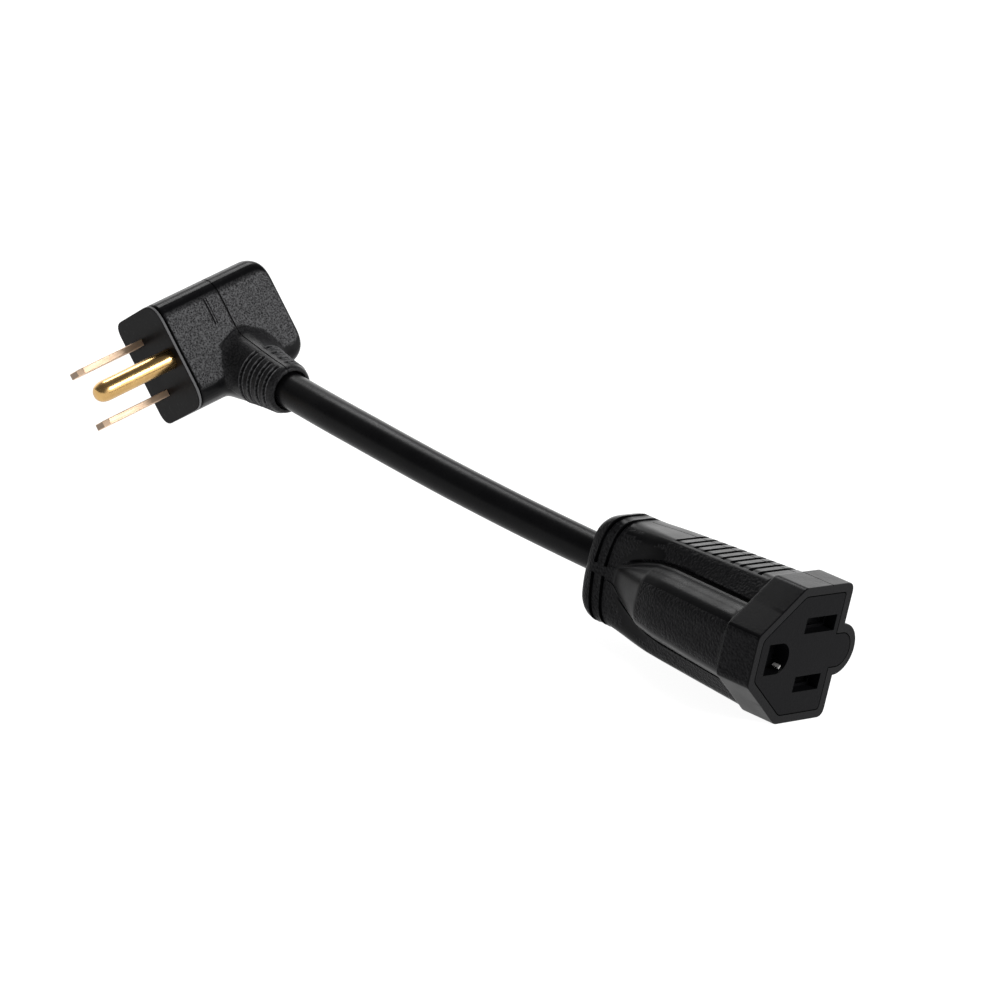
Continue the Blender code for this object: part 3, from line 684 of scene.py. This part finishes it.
def shell_outline(shape, cuts, lobe=0.0, inset=0.0, notch=0.0, slope_bulge=0.0):
    """The connector's cross-section as (y, z) points, from its lobe round the ridge and back.

    notch is how deep the valleys beside the ridge are cut in as a fine line, and lobe is 1
    where the outline has the lobe, 0 where it is flat there.
    """
    side, height, top, valley_y, valley_z, ridge_y, ridge_z = shape
    side -= inset
    height -= inset
    b = (top + 0.4 * inset, height)
    c = (valley_y + 0.8 * inset, valley_z - 0.5 * inset)
    d = (ridge_y + inset, ridge_z - 0.4 * inset)
    upper = [(side, height), b, c, d]
    lower = [(y, -z) for y, z in reversed(upper)]
    corners = [(side, 0.0)] + upper + lower + [(side, 0.0)]
    all_cuts = list(cuts) + list(reversed(cuts))
    radius = LOBE_RADIUS - inset
    points = []
    for k in range(LOBE_STEPS + 1):
        angle = math.pi * (k / LOBE_STEPS - 0.5)
        points.append((side + radius * math.cos(angle) * lobe, radius * math.sin(angle)))
    for k in range(1, len(corners) - 1):
        bend = corner(corners[k - 1], corners[k], corners[k + 1], all_cuts[k - 1], CORNER_STEPS)
        if k in VALLEYS:
            bend = notched(bend, notch)
        if k > 1:
            bulge = slope_bulge if k in SLOPE_ENDS else 0.0
            points += wall_points(points[-1], bend[0], WALL_STEPS, bulge)
        points += bend
    return points


def notched(bend, depth):
    """A corner's points with their middle sunk towards the connector's inside."""
    made = []
    for k, (y, z) in enumerate(bend):
        sunk = depth if abs(k - len(bend) // 2) <= 1 else 0.0
        made.append((y + 0.8 * sunk, z - math.copysign(0.6 * sunk, z)))
    return made


def wall_points(start, end, steps, bulge=0.0):
    """The points between the ends of a wall, which may bulge outwards."""
    along = np.subtract(end, start)
    outward = np.array((along[1], -along[0])) / np.linalg.norm(along)
    made = []
    for k in range(1, steps):
        t = k / steps
        made.append(tuple(start + along * t + outward * bulge * 4 * t * (1 - t)))
    return made


def ring_groove_outline(shape, inset):
    """The tail's outline at a ring groove, which stops at the ground side's middle and on top."""
    plain = shell_outline(shape, SOFT_CUTS)
    sunk = shell_outline(shape, SOFT_CUTS, inset=inset)
    made = []
    for at, low in zip(plain, sunk):
        on_middle = at[0] < 0 and abs(at[1]) < RING_HALF_GAP
        past_end = at[0] > RING_TOP_END
        made.append(at if on_middle or past_end else low)
    return made


def body_shape(x):
    """The body's cross-section values at x, with its breaks softened a little."""
    table = np.array(BODY_STATIONS)
    near = x + BREAK_SOFTNESS * np.linspace(-1, 1, 7)
    return [float(np.interp(near, table[:, 0], column).mean()) for column in table[:, 1:].T]


def body_places():
    """Where the body's cross-sections are: evenly spaced, and close together at its breaks."""
    places = list(np.linspace(BODY_STATIONS[0][0] + 0.6, BODY_STATIONS[-1][0], BODY_SECTIONS))
    for at in (RAMP_START, RAMP_END):
        places += [at + shift for shift in (-0.5, -0.25, 0.0, 0.25, 0.5)]
    return sorted(places)


def connector_rings():
    """The overmould's cross-sections, from its tail to the socket face."""
    rings = []
    tail = BODY_STATIONS[0][1:]
    for dx, inset in TAIL_ROUNDING:
        rings.append((TAIL_END + dx, shell_outline(tail, SOFT_CUTS, inset=inset)))
    for x in RING_PLACES:
        for dx, inset in RING_STEPS:
            rings.append((x + dx, ring_groove_outline(tail, inset)))
    for x in body_places():
        notch = VALLEY_NOTCH * float(ease(np.array(x), RAMP_START + 1.0, RAMP_START + 4.5))
        near_cut = float(np.interp(x, (BODY_STATIONS[0][0], RAMP_END), (SOFT_CUTS[1], GRIP_EDGE_CUT)))
        cuts = (SOFT_CUTS[0], near_cut, *SOFT_CUTS[2:])
        rings.append((x, shell_outline(body_shape(x), cuts, notch=notch, slope_bulge=SLOPE_BULGE)))
    for x, inset in FLANGE_STEPS:
        rings.append((x, shell_outline(FLANGE_SHAPE, FLANGE_CUTS, lobe=1.0, inset=inset)))
    return [[(x, y, z) for y, z in outline] for x, outline in rings]


def insert_outline(clearance):
    """The face insert's outline, the flange's drawn in by the rim and a clearance."""
    inset = FACE_RIM + clearance
    shoulder = Vector((FLANGE_SHAPE[2], FLANGE_HALF_HEIGHT))
    end = Vector(FLANGE_SHAPE[5:])
    chamfer = (end - shoulder).normalized()
    on_line = shoulder + Vector((-chamfer.y, chamfer.x)) * inset
    height = FLANGE_HALF_HEIGHT - inset
    top = on_line + chamfer * ((height - on_line.y) / chamfer.y)
    low = on_line + chamfer * ((end.x + inset - on_line.x) / chamfer.x)
    side = INSERT_SIDE + CAD_GAP - clearance
    radius = LOBE_RADIUS - inset
    upper = [(side, height), tuple(top), tuple(low)]
    ring = upper + [(y, -z) for y, z in reversed(upper)]
    points = []
    for k, at in enumerate(ring):
        points += corner(ring[k - 1], at, ring[(k + 1) % len(ring)], 0.9, 5)
    points.append((side, -radius))
    for k in range(LOBE_STEPS + 1):
        angle = math.pi * (k / LOBE_STEPS - 0.5)
        points.append((FLANGE_SIDE + radius * math.cos(angle), radius * math.sin(angle)))
    points.append((side, radius))
    return points


def top_height(x):
    return TOP_AT_FIRST_GRIP + TOP_SLOPE * (x - GRIP_FIRST)


def grip_cutter(k, side):
    """A groove across the flat top; its floor dips where the top rounds over to the near side."""
    x = GRIP_FIRST + k * GRIP_PITCH
    surface = top_height(x)
    half = GRIP_WIDTH / 2
    near = GRIP_NEAR_ENDS[0] + (GRIP_NEAR_ENDS[1] - GRIP_NEAR_ENDS[0]) * k / (GRIP_COUNT - 1)
    rings = []
    for y, dip in ((near, GRIP_DIP), (near + GRIP_DIP_LENGTH, 0.0), (GRIP_FAR_END, 0.0)):
        floor = surface - GRIP_DEPTH - dip
        section = [(x - half, surface + 2), (x - half, floor + 0.2), (x - 0.7 * half, floor)]
        section += [(x + 0.7 * half, floor), (x + half, floor + 0.2), (x + half, surface + 2)]
        rings.append([(sx, y, side * sz) for sx, sz in section])
    return raw_object("grip", loft(rings))


def seam_cutter(side):
    """The fine parting line along the top or the underside."""
    body_start, body_end = BODY_STATIONS[0][0], BODY_STATIONS[-1][0]
    heights = (
        (body_start + 0.6, top_height(body_start)),
        (body_end + 0.3, top_height(body_end)),
        (body_end + 1.0, FLANGE_HALF_HEIGHT),
        (2.0, FLANGE_HALF_HEIGHT),
    )
    rings = []
    for x, height in heights:
        rings.append([(x, PARTING_Y + dy, side * (height + dz)) for dy, dz in SEAM_SECTION])
    return raw_object("seam", loft(rings))


def bow_tail(obj):
    """Bends the tail's rings, whose top and underside lie further forward than their middle."""
    points, _ = vertex_arrays(obj)
    share = 1 - ease(points[:, 0], -50.0, -36.0)
    points[:, 0] += TAIL_BOW * points[:, 2] ** 2 * share
    move_vertices(obj, points)


def connector_grain(points, normals):
    """How strongly each face of the connector's overmould is textured."""
    x, y, _ = points.T
    across, up = normals[:, 1], np.abs(normals[:, 2])
    top = ease(up, 0.97, 0.995) * 0.12
    grain = np.maximum.reduce([ease(-across, 0.6, 0.8), ease(across, 0.75, 0.95), top])
    on_ramp = (x > RAMP_START - 0.3) & (x < RAMP_END + 0.3) & (normals[:, 0] < -0.15) & (y < -6)
    stations = np.array(BODY_STATIONS)
    below_valley = y < np.interp(x, stations[:, STATION_X], stations[:, STATION_VALLEY]) + 0.3
    grain[on_ramp | ((up > 0.5) & (across < -0.2) & below_valley)] = 0.05
    grain[x > -0.35] = 0.08
    return grain


def make_connector(material):
    shell = raw_object("connector_shell", loft(connector_rings()))
    pocket = raw_object("pocket", prism(insert_outline(0.0), -3.5, 1.0))
    recess = turned(RECESS_PROFILE, (TAIL_END - 0.1, CORD_Y, CORD_Z), (1, 0, 0), 48)
    carve(shell, pocket, raw_object("recess", recess))
    carve(shell, *[grip_cutter(k, side) for k in range(GRIP_COUNT) for side in (1, -1)])
    carve(shell, seam_cutter(1), seam_cutter(-1))
    bow_tail(shell)
    set_values(shell, "grain", connector_grain(*face_arrays(shell)), "FACE")
    place(shell, CONNECTOR, material, "connector_pvc", "connector_overmould")


def slot_cutters(pole, length, z):
    """A blade slot: its mouth, and the narrower throat behind."""
    half = length / 2
    mouth = box((-2.6, -half, z - SLOT_HALF_WIDTH), (1.0, half, z + SLOT_HALF_WIDTH))
    throat_low = (-9.0, -half + 0.5, z - THROAT_HALF_WIDTH)
    throat = box(throat_low, (-2.0, half - 0.5, z + THROAT_HALF_WIDTH))
    return raw_object(f"{pole}_mouth", mouth), raw_object(f"{pole}_throat", throat)


def ground_cutters():
    """The ground hole: its D-shaped mouth, and the round tunnel behind."""
    flat = -GROUND_OFFSET - GROUND_HOLE_FLAT
    points = [(flat, GROUND_HOLE_RADIUS), (flat, -GROUND_HOLE_RADIUS)]
    steps = 32
    for k in range(steps + 1):
        angle = math.pi * (k / steps - 0.5)
        y = -GROUND_OFFSET + GROUND_HOLE_RADIUS * math.cos(angle)
        points.append((y, GROUND_HOLE_RADIUS * math.sin(angle)))
    tunnel = rod((-28.0, -GROUND_OFFSET, 0), (-3.0, -GROUND_OFFSET, 0), TUNNEL_RADIUS)
    return raw_object("ground_mouth", prism(points, -3.8, 1.0)), raw_object("tunnel", tunnel)


def make_contact_leaf(material):
    """The flared front leaf of the ground contact, which shows inside the ground hole."""
    angles = np.radians(np.linspace(*LEAF_ANGLES, 15))
    rings = []
    for x, radius in LEAF_PROFILE:
        outer = [(x, -GROUND_OFFSET + math.cos(a) * radius, math.sin(a) * radius) for a in angles]
        radius -= LEAF_THICKNESS
        inner = [(x, -GROUND_OFFSET + math.cos(a) * radius, math.sin(a) * radius) for a in angles]
        rings.append(outer + inner[::-1])
    leaf = raw_object("contact_leaf", loft(rings))
    place(leaf, CONNECTOR, material, "contact_brass")


def make_face_insert(material):
    """The face with its three holes, and the contact carrier behind it."""
    insert = raw_object("face_insert", prism(insert_outline(INSERT_GAP), -FACE_PLATE, 0.0))
    body = raw_object("body", box((CARRIER_BACK, -6.8, -10.2), (CARRIER_FRONT, 5.6, 10.2)))
    tube_start = (CARRIER_BACK, -GROUND_OFFSET, 0)
    tube = raw_object("tube", rod(tube_start, (CARRIER_FRONT, -GROUND_OFFSET, 0), 3.95))
    web = raw_object("web", box((CARRIER_BACK, -GROUND_OFFSET, -2.6), (CARRIER_FRONT, -5.0, 2.6)))
    carve(insert, body, tube, web, operation="UNION")
    cutters = []
    for pole, length, z in (("neutral", NEUTRAL_SLOT, BLADE_OFFSET), ("hot", HOT_SLOT, -BLADE_OFFSET)):
        cutters += slot_cutters(pole, length, z)
    for z in (BLADE_OFFSET, -BLADE_OFFSET):
        cutters.append(raw_object("chamber", box((-30.0, -3.7, z - 1.95), (-4.4, 3.7, z + 1.95))))
    carve(insert, *cutters)
    carve(insert, *ground_cutters())
    soften(insert, 0.16, 50.0, 2)
    _, normals = face_arrays(insert)
    set_values(insert, "grain", 0.1 * ease(normals[:, 0], 0.9, 0.99), "FACE")
    place(insert, CONNECTOR, material, "socket_face", "connector_face_insert")


# Plug -------------------------------------------------------------------------------------

PLUG_CUTS = (3.4, 3.4, 5.4, 5.4)  # roundings of its corners: two at the low side, two at the high
BACK_END_RADIUS = 3.4
BACK_SIDE_RADIUS = 0.8
BACK_PLACES = (0.0, 0.06, 0.2, 0.45, 0.8, 1.3, 2.0, 2.7, 3.4)
# Distance along the cord's way out, and the strain relief's radius there
RELIEF_PROFILE = (
    (10.0, 7.8),
    (15.5, 7.9),
    (19.0, 7.3),
    (23.0, 6.65),
    (27.0, 6.15),
    (31.0, 5.8),
    (31.9, 5.55),
    (RELIEF_END, 5.1),
)
RELIEF_BORE = ((0, 4.15), (14.0, 4.15), (14.2, 4.62), (18, 4.75))
RELIEF_BORE_DEPTH = 16
FILLET_REACH = 3.4
FILLET_ROUNDS = 70
VOXEL = 0.26
RIB_PLACES = (22.4, 25.0, 27.6, 30.0)
RIB_HALF_WIDTH = 0.55
DOUBLE_LINE = (-11.85, -12.45)
RELIEF_GRAIN = 0.2
# The patch round the relief's foot that has no texture: p, and where it starts in s
SMOOTH_ZONE = ((-24.2, 7.8), (-21.9, 3.2), (-17.8, 0.4), (-15.9, -0.1), (-10.1, 2.2))
FACE_BLOCK_INSET = 2.6
# p, and how far the face block's outline is drawn in there
FACE_STEPS = (
    (-LIP_DEPTH, 0.12),
    (-LIP_DEPTH + 0.1, 0.02),
    (-0.25, 0.0),
    (-0.1, 0.03),
    (-0.03, 0.1),
    (0.0, 0.2),
)
PRONG_START = -10.0
TIP_CHAMFER = 1.2
TIP_HOLE = ((0, 1.95), (1.65, 1.55), (2.35, 1.55), (4.0, 1.95))  # flared at both sides
TIP_HOLE_DISTANCE = 5.0
NOSE_LENGTH = 3.0
NOSE_TIP = 0.16  # the flat at the pin's nose, as a share of its radius


def face_outline(ends, sides=None, steps=9):
    """The prong face's outline as (s, g) points, drawn in at the row's ends and on its sides."""
    sides = ends if sides is None else sides
    half = FACE_HALF_LENGTH - ends
    low = FACE_LOW + sides
    high = FACE_HIGH - sides
    corners = ((-half, low), (half, low), (half, high), (-half, high))
    return rounded(corners, [cut - 0.5 * ends for cut in PLUG_CUTS], steps)


def round_inset(radius, place):
    """How far a rounded edge is drawn in, at a place along its depth."""
    left = max(radius - place, 0.0)
    return radius - math.sqrt(radius**2 - left**2)


def body_distance(points):
    """How far points are from the plug's rounded block, below 0 inside it."""
    low = np.array((-PLUG_DEPTH, -FACE_HALF_LENGTH, FACE_LOW))
    high = np.array((2.0, FACE_HALF_LENGTH, FACE_HIGH))
    radius = 3.0
    q = np.abs(points - (low + high) / 2) - (high - low) / 2 + radius
    return np.linalg.norm(np.maximum(q, 0), axis=1) + np.minimum(q.max(axis=1), 0) - radius


def along_exit(points):
    """How far points are along the cord's way out."""
    return (points - np.array(EXIT_START)) @ np.array(EXIT_WAY)


def relief_distance(points):
    """How far points are from the strain relief's surface, below 0 inside it."""
    along = along_exit(points)
    away = np.linalg.norm(points - np.array(EXIT_START) - along[:, None] * np.array(EXIT_WAY), axis=1)
    places, radii = np.array(RELIEF_PROFILE).T
    return away - np.interp(along, places, radii)


def blend_joint(obj, reach, rounds):
    """Melts the step where the relief leaves the block into a fillet."""
    points, _ = vertex_arrays(obj)
    apart = np.maximum(np.abs(body_distance(points)), np.abs(relief_distance(points)))
    weight = (1 - ease(apart, 0.25 * reach, reach))[:, None] * 0.6
    weight[points[:, 0] > -2.0] = 0
    edges = np.empty(len(obj.data.edges) * 2, np.int32)
    obj.data.edges.foreach_get("vertices", edges)
    a, b = edges.reshape(-1, 2).T
    count = len(points)
    share = np.maximum(np.bincount(a, minlength=count) + np.bincount(b, minlength=count), 1)[:, None]
    for _ in range(rounds):
        sums = np.empty_like(points)
        for axis in range(3):
            values = points[:, axis]
            sums[:, axis] = np.bincount(a, values[b], count) + np.bincount(b, values[a], count)
        points += weight * (sums / share - points)
    move_vertices(obj, points)


def cut_rows(bm, co, normal, offsets, near):
    """Cuts rows of edges across the faces that lie near a plane, at offsets from it."""
    for offset in offsets:
        faces = [f for f in bm.faces if near(f.calc_center_median())]
        edges = list({e for f in faces for e in f.edges})
        verts = list({v for f in faces for v in f.verts})
        geom = verts + edges + faces
        bmesh.ops.bisect_plane(bm, geom=geom, dist=1e-5, plane_co=co + normal * offset, plane_no=normal)


def engrave(bm, co, normal, half_width, depth, share, near, lip=0.0):
    """A groove along the line where a plane meets the surface; share scales its depth there.

    A lip raises the surface along the groove's edges.
    """
    offsets = (-half_width, -0.6 * half_width, 0.6 * half_width, half_width)
    cut_rows(bm, co, normal, offsets, near)
    bm.normal_update()
    moves = []
    for vert in bm.verts:
        away = abs((vert.co - co).dot(normal)) / half_width
        amount = share(vert.co) if away < 1.02 and near(vert.co) else 0.0
        if amount > 0 and away < 0.62:
            moves.append((vert, vert.normal * depth * amount))
        elif amount > 0 and away > 0.98:
            moves.append((vert, vert.normal * -lip * amount))
    for vert, move in moves:
        vert.co -= move


def everywhere(_):
    return 1.0


def near_parting(co):
    return abs(co.x + EXIT_DEPTH) < 1.0


def off_parting(co):
    """0 beside the parting line, rising to 1 further off."""
    return min(max((abs(co.x + EXIT_DEPTH) - 1.1) / 0.8, 0.0), 1.0)


def on_double_line(co):
    return 1.0 if co.z > FACE_HIGH - 0.5 and -8.7 < co.y < -2.6 else 0.0


def near_double_line(line_p):
    """A test for points on the ground face beside one of the double line's two lines."""

    def near(co):
        return co.z > FACE_HIGH - 0.6 and abs(co.x - line_p) < 0.8 and -9.6 < co.y < -1.8

    return near


def near_rib(rib):
    """A test for points on the relief beside one of its ribs."""

    def near(co):
        return abs((co - EXIT_START).dot(EXIT_WAY) - rib) < 1.0 and co.z > FACE_HIGH - 4.0

    return near


def engrave_plug(bm):
    """The mould's parting line, the double line across the ground face and the relief's ribs."""
    across = Vector((1, 0, 0))
    engrave(bm, Vector((-EXIT_DEPTH, 0, 0)), across, 0.17, 0.17, everywhere, near_parting)
    for line_p in DOUBLE_LINE:
        middle = Vector((line_p, 0, 0))
        engrave(bm, middle, across, 0.13, 0.13, on_double_line, near_double_line(line_p))
    for rib in RIB_PLACES:
        near = near_rib(rib)
        engrave(bm, exit_point(rib), EXIT_WAY, RIB_HALF_WIDTH, 0.5, off_parting, near, lip=0.2)


def plug_grain(points, normals):
    """How strongly each point of the plug's overmould is textured."""
    p, s, g = points.T
    flat = np.maximum(np.abs(normals[:, 2]), -normals[:, 0])
    flat = np.maximum(flat, np.abs(normals[:, 1]))
    grain = ease(flat, 0.97, 0.995)
    edge = np.interp(p, *np.array(SMOOTH_ZONE).T)
    in_zone = (p > SMOOTH_ZONE[0][0]) & (p < SMOOTH_ZONE[-1][0]) & (s > edge) & (g > 4.0)
    grain[in_zone] = 0.0
    on_relief = (relief_distance(points) < 1.0) & (g > FACE_HIGH - 1.5)
    grain[on_relief] = RELIEF_GRAIN
    return grain


def rib_rim_highlights(points):
    """1 on the raised rims of the relief's ribs, which are painted lighter than the rest as a painted
    highlight.
    """
    along = along_exit(points)
    off_line = np.abs(points[:, 0] + EXIT_DEPTH) > 1.3
    rims = np.zeros(len(points))
    for rib in RIB_PLACES:
        on_rim = np.abs(np.abs(along - rib) - RIB_HALF_WIDTH) < 0.1
        rims[on_rim & off_line & (relief_distance(points) < 1.0)] = 1.0
    return rims


def make_plug_body(material):
    """The overmould with its strain relief in one skin, melted together by an even mesh."""
    rings = []
    for place_p in BACK_PLACES:
        ends = round_inset(BACK_END_RADIUS, place_p)
        sides = round_inset(BACK_SIDE_RADIUS, place_p)
        rings.append([(place_p - PLUG_DEPTH, s, g) for s, g in face_outline(ends, sides)])
    front = -LIP_DEPTH - SEAM_GAP
    rings.append([(front, s, g) for s, g in face_outline(0.0)])
    body = raw_object("plug_body", loft(rings))
    relief = raw_object("relief", turned(RELIEF_PROFILE, EXIT_START, EXIT_WAY, 72))
    carve(body, relief, operation="UNION")
    remesh = body.modifiers.new("even_mesh", "REMESH")
    remesh.mode = "VOXEL"
    remesh.voxel_size = VOXEL
    applied(body)
    blend_joint(body, FILLET_REACH, FILLET_ROUNDS)
    bore = turned(RELIEF_BORE, exit_point(RELIEF_END - RELIEF_BORE_DEPTH), EXIT_WAY, 48)
    carve(body, raw_object("mouth", bore))
    bm = bmesh.new()
    bm.from_mesh(body.data)
    engrave_plug(bm)
    bm.to_mesh(body.data)
    bm.free()
    points, normals = vertex_arrays(body)
    set_values(body, "grain", plug_grain(points, normals))
    # The ribs' rims are marked for a painted highlight, which lightens their colour.
    set_values(body, "edge", rib_rim_highlights(points))
    place(body, PLUG, material, "plug_pvc", "plug_overmould", sharp=50.0)


def make_plug_face(material):
    """The smooth block that the prongs come out of, whose lip stands proud of the overmould."""
    rings = []
    for p in (-9.0, -LIP_DEPTH - 0.02):
        rings.append([(p, s, g) for s, g in face_outline(FACE_BLOCK_INSET)])
    rings += [[(p, s, g) for s, g in face_outline(inset)] for p, inset in FACE_STEPS]
    face = raw_object("plug_face", loft(rings))
    half_t = BLADE_THICKNESS / 2 + 0.1
    half_w = BLADE_WIDTH / 2 + 0.1
    for s in (-BLADE_OFFSET, BLADE_OFFSET):
        hole = box((-12.0, s - half_t, -half_w), (1.0, s + half_t, half_w))
        carve(face, raw_object("blade_hole", hole))
    pin_hole = rod((-12, 0, GROUND_OFFSET), (1, 0, GROUND_OFFSET), PIN_RADIUS + 0.1)
    carve(face, raw_object("pin_hole", pin_hole))
    _, normals = face_arrays(face)
    # The face block's sides are marked for a painted highlight: the lip's sides are painted as a light
    # line.
    set_values(face, "edge", ease(np.abs(normals[:, 0]), 0.5, 0.1), "FACE")
    place(face, PLUG, material, "plug_face", "plug_face_block")


def make_blade(pole, s, material):
    """A flat blade with a chamfered tip and a hole, whose end face is painted darker as a painted dark
    reflection.
    """
    half_w = BLADE_WIDTH / 2
    half_t = BLADE_THICKNESS / 2
    tip = BLADE_LENGTH
    shoulder = tip - TIP_CHAMFER
    outline = ((PRONG_START, -half_w), (shoulder, -half_w), (tip, -half_w + TIP_CHAMFER))
    outline += ((tip, half_w - TIP_CHAMFER), (shoulder, half_w), (PRONG_START, half_w))
    bm = loft([[(p, s + side, g) for p, g in outline] for side in (-half_t, half_t)])
    blade = soften(raw_object(f"{pole}_blade", bm), 0.2, 30.0, 3)
    hole = turned(TIP_HOLE, (tip - TIP_HOLE_DISTANCE, s - 2.0, 0), (0, 1, 0), 40)
    carve(blade, raw_object("hole", hole))
    _, normals = face_arrays(blade)
    # The tip's end face is marked for the painted dark reflection.
    set_values(blade, "dark_end_reflection", ease(normals[:, 0], 0.85, 0.95), "FACE")
    place(blade, PLUG, material, "pin_brass", f"blade_{pole}")


def make_ground_pin(material):
    """A round pin with a bullet nose."""
    profile = [(0.0, 2.1), (0.3, PIN_RADIUS)]
    nose_start = PIN_LENGTH - PRONG_START - NOSE_LENGTH
    steps = 14
    for k in range(steps + 1):
        angle = math.pi / 2 * k / steps
        radius = PIN_RADIUS * (NOSE_TIP + (1 - NOSE_TIP) * math.cos(angle) ** 0.8)
        profile.append((nose_start + NOSE_LENGTH * math.sin(angle), radius))
    bar = turned(profile, (PRONG_START, 0, GROUND_OFFSET), (1, 0, 0), 64)
    place(raw_object("ground_pin_bar", bar), PLUG, material, "pin_brass", "ground_pin")


# Inner CAD parts --------------------------------------------------------------------------


def dress(material, *names):
    """Gives CAD parts that no piece replaces their material."""
    for name in names:
        part = frame["nodes"][name]
        part.data.materials.clear()
        part.data.materials.append(material)


def dress_inner_parts(contact):
    drawn = (4.0, 0.15, 0.15)
    copper = brushed_metal("copper", (0.86, 0.43, 0.27), (0.72, 0.33, 0.2), 0.25, 0.4, drawn)
    dress(copper, "conductor_neutral", "conductor_hot", "conductor_ground")
    dress(contact, "contact_neutral", "contact_hot", "contact_ground")
    dress(core_plastic("core_white", (0.8, 0.8, 0.78), (0.7, 0.7, 0.67)), "insulation_neutral")
    dress(core_plastic("core_black", (0.02, 0.02, 0.02), (0.035, 0.035, 0.035)), "insulation_hot")
    dress(core_plastic("core_green", (0.03, 0.3, 0.09), (0.02, 0.22, 0.06)), "insulation_ground")
    dress(filler_fibre(), "filler_1", "filler_2", "filler_3")
    cover = moulded_pvc("rear_cover", (0.012, 0.012, 0.013), (0.02, 0.02, 0.021), 0.45, 0.5, 0.2)
    dress(cover, "connector_rear_cover")


def finish_housings():
    grey = (0.01, 0.01, 0.011)
    make_connector(moulded_pvc("connector_pvc", BLACK_PVC, grey, 0.3, 0.4, 0.06))
    grey = (0.008, 0.008, 0.009)
    make_face_insert(moulded_pvc("socket_face", BLACK_PVC, grey, 0.35, 0.4, 0.03))
    # This lighter grey colours the grain's peaks and scuffs, and the painted highlight on the ribs'
    # rims.
    grey = (0.09, 0.09, 0.093)
    make_plug_body(moulded_pvc("plug_pvc", BLACK_PVC, grey, 0.3, 0.42, 0.09, 0.36))
    # This lighter grey colours the scuffs and the painted highlight on the lip's sides.
    grey = (0.12, 0.12, 0.123)
    make_plug_face(moulded_pvc("plug_face", BLACK_PVC, grey, 0.35, 0.4, 0.03, 0.16, 0.04))


def finish_metal():
    first, second = (0.62, 0.40, 0.16), (0.5, 0.31, 0.12)
    pin = brushed_metal("pin_brass", first, second, 0.2, 0.3, PRONG_GRAIN, PRONG_TURN)
    first, second = (0.8, 0.61, 0.45), (0.7, 0.51, 0.36)
    blade = brushed_metal("blade_brass", first, second, 0.5, 0.62, PRONG_GRAIN, PRONG_TURN)
    make_blade("neutral", -BLADE_OFFSET, blade)
    make_blade("hot", BLADE_OFFSET, blade)
    make_ground_pin(pin)
    first, second = (0.8, 0.6, 0.33), (0.66, 0.47, 0.24)
    contact = brushed_metal("contact_brass", first, second, 0.24, 0.4, CONTACT_GRAIN)
    first, second = (0.95, 0.94, 0.92), (0.85, 0.84, 0.82)
    make_contact_leaf(brushed_metal("contact_tin", first, second, 0.4, 0.55, CONTACT_GRAIN))
    dress_inner_parts(contact)


aim_camera()
make_cord()
light_stage()
make_floor()
finish_housings()
finish_metal()
